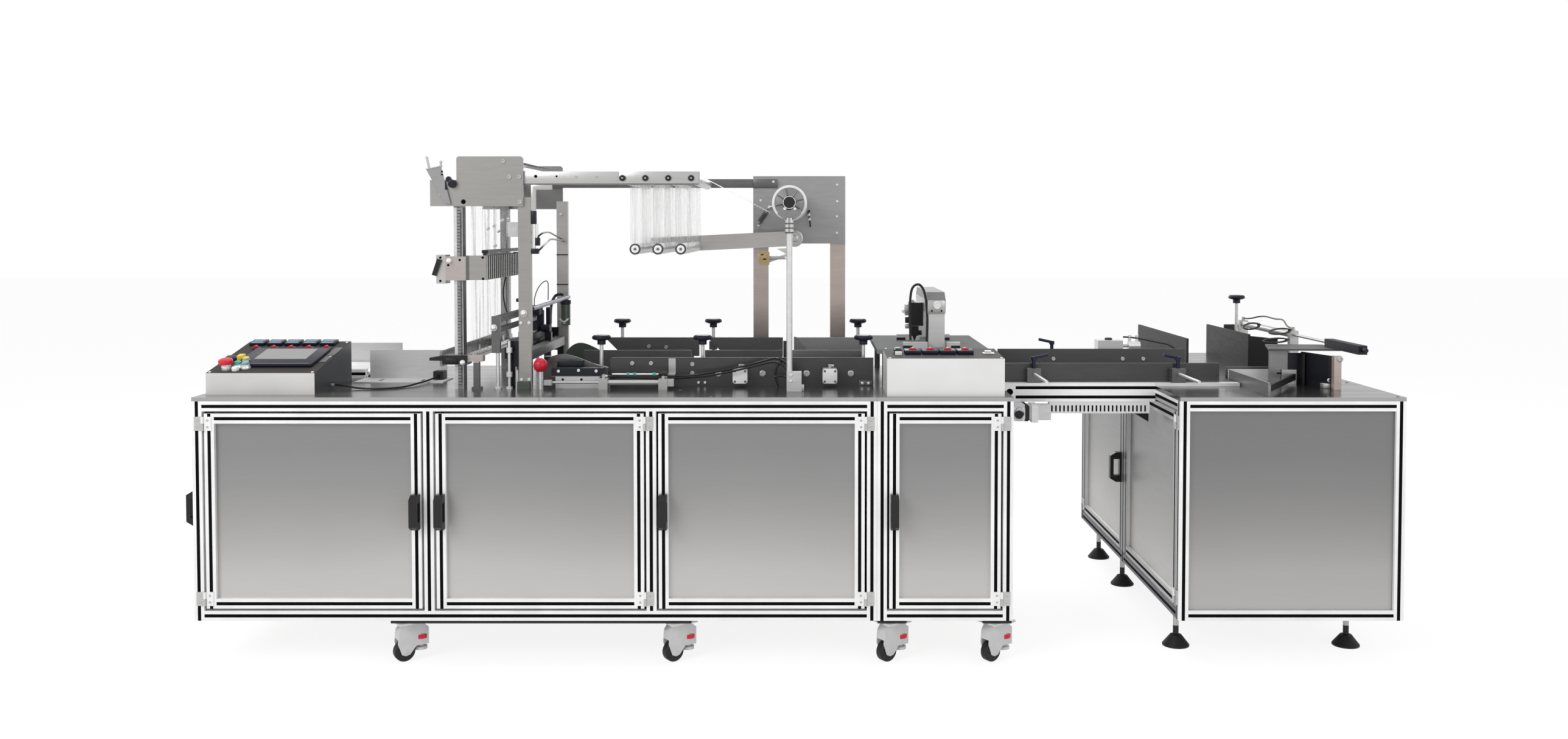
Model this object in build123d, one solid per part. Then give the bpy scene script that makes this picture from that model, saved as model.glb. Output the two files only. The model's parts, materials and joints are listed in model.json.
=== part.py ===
from build123d import *
import os
from math import asin, atan2, cos, hypot, radians, sin

# A film overwrapping machine on three cabinets of slotted aluminium profile.
# Millimetres. While it is modelled, x runs along the line from the left end of
# the main cabinet, y from the front faces to the back, and z up from the floor.

# Slotted profile and sheet
profile = 30.0
slot_width = 8.0
slot_depth = 6.0
panel_thickness = 4.0
seat_gap = 0.3
table_thickness = 12.0

# Cabinets
bay_widths = (665.0, 640.0, 635.0)
cabinet_depth = 900.0
junction_width = 410.0
cabinet_seam = 0.5
bridge_gap = 500.0
infeed_width = 680.0
infeed_depth = 1390.0
frame_bottom = 135.0
frame_height = 665.0
table_seam_x = 1045.0
table_seam = 1.0

# Doors
door_gap = 7.0
door_swing = 105.0
handle_height = 106.0
handle_depth = 40.0
handle_width = 24.0
handle_grip = 12.0
handle_foot = 24.0
handle_back = 7.0
hinge_height = 42.0
hinge_leaf = 21.0
hinge_thickness = 2.5
hinge_inset = 9.0
barrel_radius = 4.0
barrel_reach = 4.5

# Casters and feet
mount_thickness = 10.0
caster_plate = 88.0
caster_turn = 35.0
wheel_radius = 31.5
wheel_width = 28.0
axle_radius = 5.0
caster_inset = 50.0
main_caster_x = (634.0, 1455.0)
foot_radius = 42.0
foot_height = 34.0
foot_rows = (190.0, 890.0, 1280.0)
foot_inset = (47.0, 94.0)

# Control box and switch box
box_left = 14.0
box_width = 332.0
box_front = 65.0
box_depth = 320.0
box_low = 66.0
box_high = 135.0
switch_box_offset = 30.5
switch_box_width = 355.0
switch_box_front = 20.0
switch_box_depth = 230.0
switch_box_low = 115.0
switch_box_high = 124.0

# Outfeed, with heights here and below measured up from the table
outfeed_sheet = 3.0
outfeed_front = 486.0
outfeed_rear = 760.0
outfeed_height = 97.0

# Film tower
tower_front = 200.0
tower_margin = 60.0
head_plate = 8.0
head_left = 667.0
head_shoulder = 750.0
head_right = 959.0
head_bottom = 577.0
head_step = 659.0
head_top = 733.0
ruler_x = 738.0
ruler_width = 30.0
ruler_height = 638.0
flat_x = 940.0
flat_width = 40.0
flat_depth = 20.0
flat_height = 605.0
clamp_height = 344.0
comb_teeth = 24
lever_height = 94.0
seal_height = 230.0
ball_x = 1008.0
ball_radius = 22.5

# Film path
roller_radius = 17.3
roller_x = 1270.0
roller_pitch = 72.0
roller_height = 665.0
dancer_height = 442.0
film_inset = 40.0
film_width = 520.0
film_thickness = 0.8
film_gap = 0.6
curtain_radius = 12.0
bar_start = 900.0
bar_height = 42.0
bar_thickness = 8.0

# Unwind
roll_x = 1794.0
roll_height = 588.0
roll_radius = 55.0
roll_front = 195.0
roll_inset = 45.0
shaft_radius = 20.0
shaft_end = 150.0
unwind_left = 1652.0
unwind_right = 1987.0
unwind_plate_height = 245.0
unwind_post = 55.0
unwind_post_depth = 20.0
hub_x = 1804.0
hub_height = 471.0
hub_radius = 30.0
hub_pin_radius = 10.0
stand_y = 160.0
stand_radius = 9.3

# Product track
guide_thickness = 8.0
guide_height = 91.0
rear_guide_height = 115.0
guide_start = 1214.0
front_guide_y = 287.0
middle_guide_y = 541.0
rear_guide_y = 772.0
cylinder_x = (1635.0, 1922.0)
cylinder_size = 47.0
rodless_start = 1193.0
rodless_length = 236.0
knob_x = (1180.0, 1509.0, 2032.0)
knob_front_y = 330.0
knob_rear_y = 802.0
knob_radius = 30.0
knob_rod_radius = 6.0
knob_front_height = 160.0
knob_rear_height = 180.0

# Station on the junction, with its arch
station_left = 16.5
station_width = 367.0
station_front = 340.0
station_low = 98.0
station_high = 113.0
arch_left = 189.5
arch_width = 54.0
arch_height = 295.0

# Conveyor bridge
beam_rise = 10.0
beam_front = 277.0
beam_spread = 343.0
beam_offset = 49.5
belt_radius = 22.0
belt_thickness = 3.0
strip_reach = 270.5
belt_gap = 6.0
guide_overhang = 214.5

# Infeed
wall_height = 117.0
wall_thickness = 8.0
wall_near = 221.5
wall_far = 176.5
wall_front = 886.0
stop_front = 34.0
stop_length = 370.0
stop_height = 40.0
pusher_y = 350.0
pusher_height = 104.0
pusher_x = 80.5
pusher_axis = 131.0
pusher_gland = 702.0
pusher_inset = 162.0

# Probe cable and air hoses
cable_radius = 3.0
hose_radius = 3.0
elbow_reach = 13.0
elbow_rise = 8.0

# Worked out from the above
frame_top = frame_bottom + frame_height
table_top = frame_top + table_thickness
main_width = sum(bay_widths) + profile * (len(bay_widths) + 1)
junction_x = main_width + cabinet_seam
junction_end = junction_x + junction_width
infeed_x = junction_end + bridge_gap
infeed_end = infeed_x + infeed_width
post_middle = (infeed_depth - profile) / 2
door_bottom = frame_bottom + profile + door_gap
door_height = frame_height - 2 * (profile + door_gap)
barrel_front = barrel_reach + barrel_radius
low_x = -handle_depth
high_x = infeed_end + barrel_front
low_y = -handle_depth
high_y = infeed_depth
centre_x = (low_x + high_x) / 2
centre_y = (low_y + high_y) / 2
panel_seat = slot_depth - seat_gap
outfeed_top = table_top + outfeed_height
tower_rear = cabinet_depth - tower_margin
ruler_top = table_top + ruler_height
flat_top = table_top + flat_height
lever_z = table_top + lever_height
roller_z = table_top + roller_height
dancer_z = table_top + dancer_height
film_front = tower_front + film_inset
bar_bottom = roller_z - bar_height / 2
last_roller_x = roller_x + 3 * roller_pitch
roll_z = table_top + roll_height
roll_width = tower_rear - roll_inset - roll_front
hub_z = table_top + hub_height
knob_front_z = table_top + knob_front_height
knob_rear_z = table_top + knob_rear_height
switch_box_left = junction_x + switch_box_offset
station_x = junction_x + station_left
arch_x = junction_x + arch_left
plate_top = table_top + station_high
beam_top = table_top + beam_rise
beam_low = beam_top - 2 * profile
beam_start = junction_end + beam_offset
beam_rear = beam_front + beam_spread
strip_end = infeed_x + strip_reach
wall_x = infeed_end - wall_far
rodless_z = table_top + 21
rodless_ports = (rodless_start + 14, rodless_start + rodless_length - 34)
pusher_ports = (pusher_gland, infeed_depth - pusher_inset)


def block(x0, x1, y0, y1, z0, z1):
    """A rectangular block between two corners."""
    middle = Pos((x0 + x1) / 2, (y0 + y1) / 2, (z0 + z1) / 2)
    return middle * Box(x1 - x0, y1 - y0, z1 - z0)


def rod(radius, start, end):
    """A round bar between two points."""
    line = Vector(*end) - Vector(*start)
    place = Plane(origin=start, z_dir=line).location
    return place * Pos(0, 0, line.length / 2) * Cylinder(radius, line.length)


def prism(axis, start, end, *outline):
    """An outline of straight edges drawn across an axis and run along it."""
    if axis == "x":
        points = [(start, a, b) for a, b in outline]
        along = (1, 0, 0)
    elif axis == "y":
        points = [(a, start, b) for a, b in outline]
        along = (0, 1, 0)
    else:
        points = [(a, b, start) for a, b in outline]
        along = (0, 0, 1)
    face = make_face(Polyline(*points, close=True))
    return extrude(face, amount=end - start, dir=along)


def slotted_bar(axis, x, y, z, length, high=1):
    """Profile with a slot in each side, from its lowest corner along an axis."""
    section = Rectangle(profile * high, profile)
    reach = profile / 2 - slot_depth / 2
    for row in range(high):
        middle = profile * (row - (high - 1) / 2)
        for side in (-1, 1):
            section -= Pos(middle, side * reach) * Rectangle(slot_width, slot_depth)
    for side in (-1, 1):
        edge = side * (profile * high / 2 - slot_depth / 2)
        section -= Pos(edge, 0) * Rectangle(slot_depth, slot_width)
    bar = extrude(section, length)
    half = profile / 2
    if axis == "x":
        return Pos(x, y + half, z + half * high) * Rot(0, 90, 0) * bar
    if axis == "y":
        return Pos(x + half, y, z + half) * Rot(-90, 0, 0) * bar
    return Pos(x + half, y + half, z) * bar


def post_starts():
    """Left edges of the main cabinet's posts."""
    starts = [0.0]
    for width in bay_widths:
        starts.append(starts[-1] + profile + width)
    return starts


def cabinet_corners():
    """Left edge, right edge and depth of each cabinet."""
    return (
        (0.0, main_width, cabinet_depth),
        (junction_x, junction_end, cabinet_depth),
        (infeed_x, infeed_end, infeed_depth),
    )


def posts():
    """Corner posts over the full height, and posts between the rails."""
    made = []
    for left, right, depth in cabinet_corners():
        for x in (left, right - profile):
            for y in (0.0, depth - profile):
                made.append(slotted_bar("z", x, y, frame_bottom, frame_height))
    for x in post_starts()[1:-1]:
        for y in (0.0, cabinet_depth - profile):
            low = frame_bottom + profile
            made.append(slotted_bar("z", x, y, low, frame_height - 2 * profile))
    for x in (infeed_x, infeed_end - profile):
        made.append(slotted_bar("z", x, post_middle, frame_bottom, frame_height))
    return made


def long_rails():
    """Rails along the line, with the rails that carry the infeed feet."""
    made = []
    levels = (frame_bottom, frame_top - profile)
    for left, right, depth in cabinet_corners():
        length = right - left - 2 * profile
        for y in (0.0, depth - profile):
            for z in levels:
                made.append(slotted_bar("x", left + profile, y, z, length))
    length = infeed_width - 2 * profile
    for y in foot_rows:
        low = y - profile / 2
        made.append(slotted_bar("x", infeed_x + profile, low, frame_bottom, length))
    return made


def cross_rails():
    """Rails from front to back at the ends of each cabinet."""
    made = []
    levels = (frame_bottom, frame_top - profile)
    for left, right, depth in cabinet_corners():
        spans = [(profile, depth - profile)]
        if depth == infeed_depth:
            spans = [(profile, post_middle), (post_middle + profile, depth - profile)]
        for x in (left, right - profile):
            for low, high in spans:
                for z in levels:
                    made.append(slotted_bar("y", x, low, z, high - low))
    return made


def table_plates():
    """Flat tops, flush with the frames, with a seam between plates."""
    edges = (
        (0.0, table_seam_x - table_seam / 2, cabinet_depth),
        (table_seam_x + table_seam / 2, main_width, cabinet_depth),
        (junction_x, junction_end, cabinet_depth),
        (infeed_x, infeed_end, infeed_depth),
    )
    return [block(a, b, 0, depth, frame_top, table_top) for a, b, depth in edges]


def slot_panel_x(left, right, y):
    """A panel across x, held in the slots around its bay."""
    half = panel_thickness / 2
    low = frame_bottom + profile - panel_seat
    high = frame_top - profile + panel_seat
    middle = y + profile / 2
    return block(left - panel_seat, right + panel_seat, middle - half, middle + half, low, high)


def slot_panel_y(front, back, x):
    """A panel across y, held in the slots around its bay."""
    half = panel_thickness / 2
    low = frame_bottom + profile - panel_seat
    high = frame_top - profile + panel_seat
    middle = x + profile / 2
    return block(middle - half, middle + half, front - panel_seat, back + panel_seat, low, high)


def fixed_panels():
    """Sheets that close the backs, the junction's end and the infeed's front."""
    made = []
    starts = post_starts()
    rear = cabinet_depth - profile
    for left, right in zip(starts[:-1], starts[1:]):
        made.append(slot_panel_x(left + profile, right, rear))
    made.append(slot_panel_x(junction_x + profile, junction_end - profile, rear))
    made.append(slot_panel_y(profile, rear, junction_end - profile))
    for y in (0.0, infeed_depth - profile):
        made.append(slot_panel_x(infeed_x + profile, infeed_end - profile, y))
    for place in fixed_door_places():
        made.append(place["place"] * door_sheet(place["width"], place["mirrored"]))
    return made


def floor_plates():
    """Base plates: in the bottom rails' slots, and on the infeed's foot rails."""
    made = []
    half = panel_thickness / 2
    middle = frame_bottom + profile / 2
    for left, right, depth in cabinet_corners()[:2]:
        low_edge = profile - panel_seat
        plate = block(
            left + low_edge, right - low_edge, low_edge, depth - low_edge, middle - half, middle + half
        )
        for x in (left, right - profile):
            for y in (0.0, depth - profile):
                grow = seat_gap
                plate -= block(
                    x - grow, x + profile + grow, y - grow, y + profile + grow,
                    middle - profile, middle + profile,
                )
        made.append(plate)
    clear = profile + door_gap
    low = frame_bottom + profile
    made.append(
        block(infeed_x + clear, infeed_end - clear, clear, infeed_depth - clear, low, low + half)
    )
    return made


def door_frame(width, mirrored):
    """A door's ring of profile with its hinge leaves, from the hinge edge along +x."""
    height = door_height
    ring = block(0, width, 0, profile, 0, height)
    ring -= block(profile, width - profile, -1, profile + 1, profile, height - profile)
    half = slot_width / 2
    centre = profile / 2
    for low, high in ((0, slot_depth), (profile - slot_depth, profile)):
        for x in (centre, width - centre):
            ring -= block(x - half, x + half, low, high, 0, height)
        for z in (centre, height - centre):
            ring -= block(profile, width - profile, low, high, z - half, z + half)
    seat = panel_thickness / 2 + seat_gap
    deep = profile - slot_depth
    ring -= block(deep, width - deep, centre - seat, centre + seat, deep, height - deep)
    for low in hinge_levels():
        ring += moving_leaf(low)
    return mirror(ring, Plane.YZ) if mirrored else ring


def door_sheet(width, mirrored):
    """The sheet that sits in the slots of a door's ring."""
    edge = profile - panel_seat
    centre = profile / 2
    half = panel_thickness / 2
    sheet = block(edge, width - edge, centre - half, centre + half, edge, door_height - edge)
    return mirror(sheet, Plane.YZ) if mirrored else sheet


def hinge_levels():
    """Lower edges of the two hinges above the door's bottom edge."""
    return (hinge_inset, door_height - hinge_inset - hinge_height)


def moving_leaf(low):
    """The door's half of a lift-off hinge, with the upper knuckle."""
    pin_x = -door_gap / 2
    split = low + hinge_height / 2 + 0.5
    high = low + hinge_height
    plate = block(1.0, 1.0 + hinge_leaf, -hinge_thickness, 0, low, high)
    tongue = block(pin_x, 1.0, -hinge_thickness, -0.5, split, high)
    knuckle = rod(barrel_radius, (pin_x, -barrel_reach, split), (pin_x, -barrel_reach, high))
    return plate + tongue + knuckle


def fixed_leaf(low):
    """The post's half of a lift-off hinge, with the lower knuckle."""
    pin_x = -door_gap / 2
    split = low + hinge_height / 2 - 0.5
    edge = -door_gap - 1.0
    plate = block(edge - hinge_leaf, edge, -hinge_thickness, 0, low, low + hinge_height)
    tongue = block(edge, pin_x, -hinge_thickness, -0.5, low, split)
    knuckle = rod(barrel_radius, (pin_x, -barrel_reach, low), (pin_x, -barrel_reach, split))
    return plate + tongue + knuckle


def door_handle(width, mirrored):
    """A closed bridge handle on the free stile, with its finger gap."""
    low = (door_height - handle_height) / 2
    high = low + handle_height
    slope = handle_depth / 2
    drop = handle_foot / 2
    x0 = width - profile / 2 - handle_width / 2
    outline = (
        (0, low),
        (0, high),
        (-slope, high),
        (-handle_depth, high - drop),
        (-handle_depth, low + drop),
        (-slope, low),
    )
    handle = prism("x", x0, x0 + handle_width, *outline)
    gap_back = -handle_back
    gap_front = -handle_depth + handle_grip
    handle -= block(
        x0 - 1, x0 + handle_width + 1, gap_front, gap_back, low + handle_foot, high - handle_foot
    )
    return mirror(handle, Plane.YZ) if mirrored else handle


def door_place(name, width, corner, turn, mirrored):
    """Where a door hangs, with its hinge axis in the machine's axes."""
    place = Pos(corner[0], corner[1], door_bottom) * Rot(0, 0, turn)
    pin_x = door_gap / 2 if mirrored else -door_gap / 2
    pin = (place * Pos(pin_x, -barrel_reach, door_height / 2)).position
    return {"name": name, "width": width, "place": place, "mirrored": mirrored, "pin": pin}


def door_places():
    """The doors that open."""
    starts = post_starts()
    made = []
    for number, width in enumerate(bay_widths):
        left = starts[number] + profile
        right = left + width
        mirrored = number > 0
        edge = right - door_gap if mirrored else left + door_gap
        name = "front_door_" + str(number + 1)
        made.append(door_place(name, width - 2 * door_gap, (edge, 0.0), 0.0, mirrored))
    clear = junction_width - 2 * profile
    edge = junction_end - profile - door_gap
    made.append(door_place("junction_door", clear - 2 * door_gap, (edge, 0.0), 0.0, True))
    clear = cabinet_depth - 2 * profile
    edge = cabinet_depth - profile - door_gap
    made.append(door_place("end_door", clear - 2 * door_gap, (0.0, edge), -90.0, False))
    clear = infeed_depth - 2 * profile - post_middle
    edge = infeed_depth - profile - door_gap
    made.append(door_place("infeed_door", clear - 2 * door_gap, (infeed_x, edge), -90.0, False))
    return made


def fixed_door_places():
    """The infeed doors that stay shut: one behind the conveyor, two on the far side."""
    front = post_middle - profile - 2 * door_gap
    rear = infeed_depth - 2 * profile - post_middle - 2 * door_gap
    near = profile + door_gap
    far = infeed_depth - profile - door_gap
    return [
        door_place("behind_conveyor", front, (infeed_x, near), -90.0, True),
        door_place("far_front", front, (infeed_end, near), 90.0, False),
        door_place("far_rear", rear, (infeed_end, far), 90.0, True),
    ]


def fixed_doors():
    """Rings of the doors that stay shut."""
    return [p["place"] * door_frame(p["width"], p["mirrored"]) for p in fixed_door_places()]


def hinge_plates():
    """Hinge halves on the posts."""
    made = []
    for p in door_places() + fixed_door_places():
        for low in hinge_levels():
            leaf = fixed_leaf(low)
            if p["mirrored"]:
                leaf = mirror(leaf, Plane.YZ)
            made.append(p["place"] * leaf)
    return made


def caster_spots():
    """Centres of the eight casters."""
    half = caster_plate / 2
    columns = list(main_caster_x) + [junction_x + half + 2, junction_end - half - 2]
    rows = (caster_inset, cabinet_depth - caster_inset)
    return [(x, y) for x in columns for y in rows]


def caster_mounts():
    """Steel bars under the main frame and blocks under the junction frame."""
    made = []
    half = caster_plate / 2
    low = frame_bottom - mount_thickness
    for y in (caster_inset, cabinet_depth - caster_inset):
        left = main_caster_x[0] - half
        right = main_caster_x[-1] + half
        made.append(block(left, right, y - half, y + half, low, frame_bottom))
    for x, y in caster_spots()[2 * len(main_caster_x):]:
        made.append(block(x - half, x + half, y - half, y + half, low, frame_bottom))
    return made


def caster():
    """A levelling caster about its swivel axis: plate, fork, jack wheel, pad and axle."""
    top = frame_bottom - mount_thickness
    half = caster_plate / 2
    plate_low = top - 6
    crown = plate_low - 6
    body = block(-half, half, -half, half, plate_low, top)
    body += rod(28, (0, 0, crown), (0, 0, plate_low))
    fork = prism(
        "y", -20, 20,
        (-26, crown), (34, crown), (52, crown - 15), (52, 46), (14, 46),
        (-6, 22), (-18, 19), (-30, 24), (-42, 58), (-38, crown - 17),
    )
    fork -= block(-60, 16, -16, 16, 0, 70)
    body += fork
    body += rod(23, (33, 0, 64), (33, 0, 78))
    body += rod(19, (34, 0, 29), (34, 0, 37)) + rod(8, (34, 0, 35), (34, 0, 48))
    body += rod(axle_radius, (-18, -22, wheel_radius), (-18, 22, wheel_radius))
    return Rot(0, 0, caster_turn) * body


def casters():
    return [Pos(x, y, 0) * caster() for x, y in caster_spots()]


def caster_wheels():
    """Wheels on the casters' axles."""
    wheel = Rot(90, 0, 0) * Cylinder(wheel_radius, wheel_width)
    wheel = chamfer(wheel.edges().filter_by(GeomType.CIRCLE), 4)
    wheel -= Rot(90, 0, 0) * Cylinder(axle_radius + seat_gap, wheel_width + 2)
    wheel = Rot(0, 0, caster_turn) * Pos(-18, 0, wheel_radius) * wheel
    return [Pos(x, y, 0) * wheel for x, y in caster_spots()]


def levelling_feet():
    """Cone pads on threaded stems under the infeed's foot rails."""
    made = []
    for y in foot_rows:
        for x in (infeed_x + foot_inset[0], infeed_end - foot_inset[1]):
            pad = Pos(x, y, 4 + (foot_height - 4) / 2) * Cone(foot_radius, 18, foot_height - 4)
            rim = rod(foot_radius, (x, y, 0), (x, y, 4))
            stem = rod(9, (x, y, foot_height - 2), (x, y, frame_bottom))
            nut = Pos(x, y, frame_bottom - 8) * extrude(RegularPolygon(15, 6), 8)
            made.append(rim + pad + stem + nut)
    return made


def wedge(left, width, front, depth, low, high):
    """A box with a sloping top: its outline from the side, run along x."""
    back = front + depth
    return prism(
        "x", left, left + width,
        (front, table_top), (back, table_top), (back, table_top + high), (front, table_top + low),
    )


def slope(left, front, depth, low, high):
    """The plane of a wedge's top, from its front left corner, with y up the slope."""
    tilt = atan2(high - low, depth)
    return Plane(
        origin=(left, front, table_top + low), x_dir=(1, 0, 0), z_dir=(0, -sin(tilt), cos(tilt))
    ).location


def control_slope():
    return slope(box_left, box_front, box_depth, box_low, box_high)


def switch_slope():
    return slope(
        switch_box_left, switch_box_front, switch_box_depth, switch_box_low, switch_box_high
    )


def control_boxes():
    """The operator's box, with its cable gland, and the switch box."""
    start, ahead = (Vector(*p) for p in cable_route()[:2])
    inside = start - (ahead - start).normalized() * 16
    gland = rod(7, tuple(inside), tuple(start))
    first = wedge(box_left, box_width, box_front, box_depth, box_low, box_high) + gland
    second = wedge(
        switch_box_left, switch_box_width, switch_box_front, switch_box_depth,
        switch_box_low, switch_box_high,
    )
    return [first, second]


def touch_screen():
    """The flat touch panel on the operator's box."""
    width, length, thickness = 212, 150, 12
    screen = Box(width, length, thickness)
    screen = fillet(screen.edges().filter_by(Axis.Z), 5)
    return [control_slope() * Pos(81 + width / 2, 68 + length / 2, thickness / 2) * screen]


def temperature_controllers():
    """A row of square controllers along the top of the slope."""
    made = []
    for number in range(5):
        body = Box(48, 48, 9) + Pos(0, 0, 6) * Box(42, 42, 3)
        made.append(control_slope() * Pos(42 + 57 * number, 300, 4.5) * body)
    return made


def panel_controls():
    """Emergency stop, push buttons and rotary switches on both boxes."""
    made = []
    stop = Pos(0, 0, 10) * Cylinder(13, 20) + Pos(0, 0, 26) * Cylinder(21, 18)
    stop = chamfer(stop.edges().group_by(Axis.Z)[-1], 4)
    made.append(control_slope() * Pos(50, 32, 0) * stop)
    button = Pos(0, 0, 7) * Cylinder(14, 14) + Pos(0, 0, 17) * Cylinder(11, 6)
    for x, y in ((81 - 5, 48), (81 + 25, 48)):
        made.append(control_slope() * Pos(x, y, 0) * button)
    selector = Pos(0, 0, 3) * Cylinder(13, 6) + Pos(0, 0, 11) * Box(24, 7, 10)
    for number in range(5):
        made.append(control_slope() * Pos(52 + 57 * number, 248, 0) * selector)
    made.append(control_slope() * Pos(44, 205, 8) * Box(44, 40, 16))
    for number in range(4):
        body = Pos(0, 0, 6) * Box(44, 46, 12) + Pos(0, 0, 12) * selector
        made.append(switch_slope() * Pos(76 + 54 * number, 110, 0) * body)
    made.append(switch_slope() * Pos(35, 110, 10) * Box(22, 46, 20))
    return made


def cable_route():
    """The probe cable's route, from the gland across the table to the sensor."""
    route = (
        (358.0, 205.0, 14.0),
        (390.0, 203.0, 11.5),
        (426.0, 193.0, 4.5),
        (482.0, 181.0, 3.2),
        (536.0, 197.0, 3.2),
        (572.0, 240.0, 3.2),
        (588.0, 292.0, 6.8),
        (597.0, 346.0, 6.6),
        (610.0, 392.0, 10.0),
        (617.0, 420.0, 15.0),
    )
    return [(x, y, table_top + up) for x, y, up in route]


def tube(radius, route):
    """A round cord along a route: straight runs joined by tangent arcs."""
    points = [Vector(*p) for p in route]
    radii = []
    for before, here, after in zip(points, points[1:], points[2:]):
        into, out = here - before, after - here
        turn = radians(into.get_angle(out))
        reach = 0.45 * min(into.length, out.length)
        radii.append(reach * cos(turn / 2) / sin(turn / 2))
    path = FilletPolyline(*points, radius=radii)
    start = Plane(origin=points[0], z_dir=path % 0)
    return sweep(start * Circle(radius), path)


def probe_cable():
    """The cable between the operator's box and the fork sensor, face to face with both."""
    return [tube(cable_radius, cable_route())]


def hose_routes():
    """Routes of the air hoses: two along the front guide, one at the tower, one at the pusher."""
    left, right = (x + elbow_reach for x in rodless_ports)
    y = tower_front
    guide = (
        ((left, y, 41), (left + 42, y, 41), (1335, y + 22, 31), (1425, y + 25, 31), (1520, y + 25, 36),
         (1610, y + 28, 52), (1698, y + 30, 74), (1758, y + 30, 88), (1799, y + 28, 44), (1799, y + 28, 0)),
        ((right, y, 41), (right + 40, y, 41), (1520, y + 34, 44), (1610, y + 37, 60),
         (1700, y + 39, 82), (1762, y + 39, 100), (1809, y + 36, 48), (1809, y + 36, 0)),
    )
    x, y = flat_x + flat_width - 6, tower_rear - 40
    tower = (
        (x, y, 248), (x, y, 290), (x + 22, y + 6, 335), (x + 66, y + 18, 335), (x + 88, y + 26, 285),
        (x + 84, y + 34, 150), (x + 76, y + 38, 60), (x + 76, y + 38, 0),
    )
    x = infeed_end - pusher_x
    near, far = pusher_ports
    up = pusher_axis + 14 + elbow_rise
    pusher = (
        (x, near + elbow_reach, up), (x, near + 60, up), (x + 25, near + 160, up + 22),
        (x + 30, near + 260, up + 14), (x + 22, far - 160, up + 22), (x, far - 60, up),
        (x, far - elbow_reach, up),
    )
    return [[(x, y, table_top + up) for x, y, up in route] for route in (*guide, tower, pusher)]


def elbow(x, y, low, along, across):
    """A push-in fitting for a hose, its outlet turned aside."""
    outlet = low + elbow_rise
    body = rod(6, (x, y, low), (x, y, outlet + 5))
    return body + rod(4.5, (x, y, outlet), (x + elbow_reach * along, y + elbow_reach * across, outlet))


def air_hoses():
    """Air hoses between fittings, held at both ends."""
    return [tube(hose_radius, route) for route in hose_routes()]


def probe_sensor():
    """A fork sensor on the outfeed plate's flange, at the cable's end."""
    end = cable_route()[-1]
    before = cable_route()[-2]
    line = Vector(*end) - Vector(*before)
    place = Plane(origin=end, z_dir=line).location
    neck = place * Pos(0, 0, 5) * Cylinder(6, 10)
    low = table_top + outfeed_sheet
    body = block(end[0] - 14, end[0] + 20, end[1] + 5, end[1] + 45, low, low + 28)
    return body + neck


def outfeed_guides():
    """Folded sheet guides on both sides of the outfeed."""
    made = []
    for left, right, y, side in (
        (373.0, 632.0, outfeed_front, -1),
        (150.0, 396.0, outfeed_rear, 1),
    ):
        wall = block(left, right, y, y + outfeed_sheet, table_top, outfeed_top)
        if side < 0:
            foot_top = table_top + outfeed_sheet
            foot = block(left - 15, right + 20, y - 120, y + outfeed_sheet, table_top, foot_top)
            for x in (left + 60, right - 60):
                foot -= block(x - 5, x + 5, y - 90, y - 40, table_top - 1, table_top + outfeed_sheet + 1)
        else:
            foot = block(left, right, y, y + 60, table_top, table_top + outfeed_sheet)
        made.append(wall + foot)
    return made


def outfeed_conveyor():
    """A short outfeed bed between the guides: side rails, end rollers and a belt."""
    made = []
    left, right = 60.0, 352.0
    front = outfeed_front + 10
    rear = outfeed_rear - 10
    for y in (front, rear - profile):
        made.append(slotted_bar("x", left, y, table_top, right - left))
    bed_low = table_top
    inner_front = front + profile + seat_gap
    inner_rear = rear - profile - seat_gap
    bed = block(left + 15, right - 15, inner_front, inner_rear, bed_low, bed_low + 24)
    for x in (left + 15, right - 15):
        bed += rod(12, (x, inner_front, bed_low + 12), (x, inner_rear, bed_low + 12))
    made.append(bed)
    return made


def ruler_columns():
    """Square columns with a scale groove, one at the front and one at the rear."""
    made = []
    for y in (tower_front, tower_rear - ruler_width):
        column = block(ruler_x, ruler_x + ruler_width, y, y + ruler_width, table_top, ruler_top)
        groove_x = ruler_x + ruler_width * 2 / 3
        column -= block(groove_x, groove_x + 6, y - 1, y + 5, table_top + 20, ruler_top - 80)
        made.append(column)
    return made


def flat_columns():
    """Flat columns on base blocks."""
    made = []
    for y in (tower_front, tower_rear - flat_depth):
        column = block(flat_x, flat_x + flat_width, y, y + flat_depth, table_top, flat_top)
        base = block(flat_x - 5, flat_x + flat_width - 5, y - 6, y + flat_depth + 6, table_top, table_top + 24)
        made.append(column + base)
    return made


def head_plates():
    """Stepped side plates that carry the head rollers, with a stop plate and collars in front."""
    corner = 6
    low, step, high = (table_top + up for up in (head_bottom, head_step, head_top))
    outline = (
        (head_left, low), (head_right, low), (head_right, high - corner), (head_right - corner, high),
        (head_shoulder + corner, high), (head_shoulder, high - corner), (head_shoulder, step),
        (head_left, step),
    )
    face = tower_front - head_plate
    front = prism("y", face, tower_front, *outline)
    front += prism(
        "y", face - head_plate, face,
        (head_left + 47, low + 10), (head_left + 66, low + 6), (head_left + 38, low + 124),
        (head_left - 9, low + 114),
    )
    for x, z, radius in ((head_left + 72, low + 70, 13), (head_left + 61, low + 84, 9)):
        front += rod(radius, (x, face - head_plate - 3, z), (x, face, z))
    rear = prism("y", tower_rear, tower_rear + head_plate, *outline)
    return [front, rear]


def film_level():
    """Height of the film's middle over the upper rollers."""
    return roller_z + roller_radius + film_gap + film_thickness / 2


def curtain_x():
    """Position of the film's middle where it comes down the tower."""
    x, z, radius = head_rollers()[0]
    return x - radius - film_gap - film_thickness / 2


def head_rollers():
    """Position, height and radius of the rollers between the head plates."""
    level = film_level()
    reach = film_gap + film_thickness / 2
    low = table_top + head_bottom
    return ((800, level - reach - 20, 20), (886, level + reach + 15, 15), (700, low + 47, 12))


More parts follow.
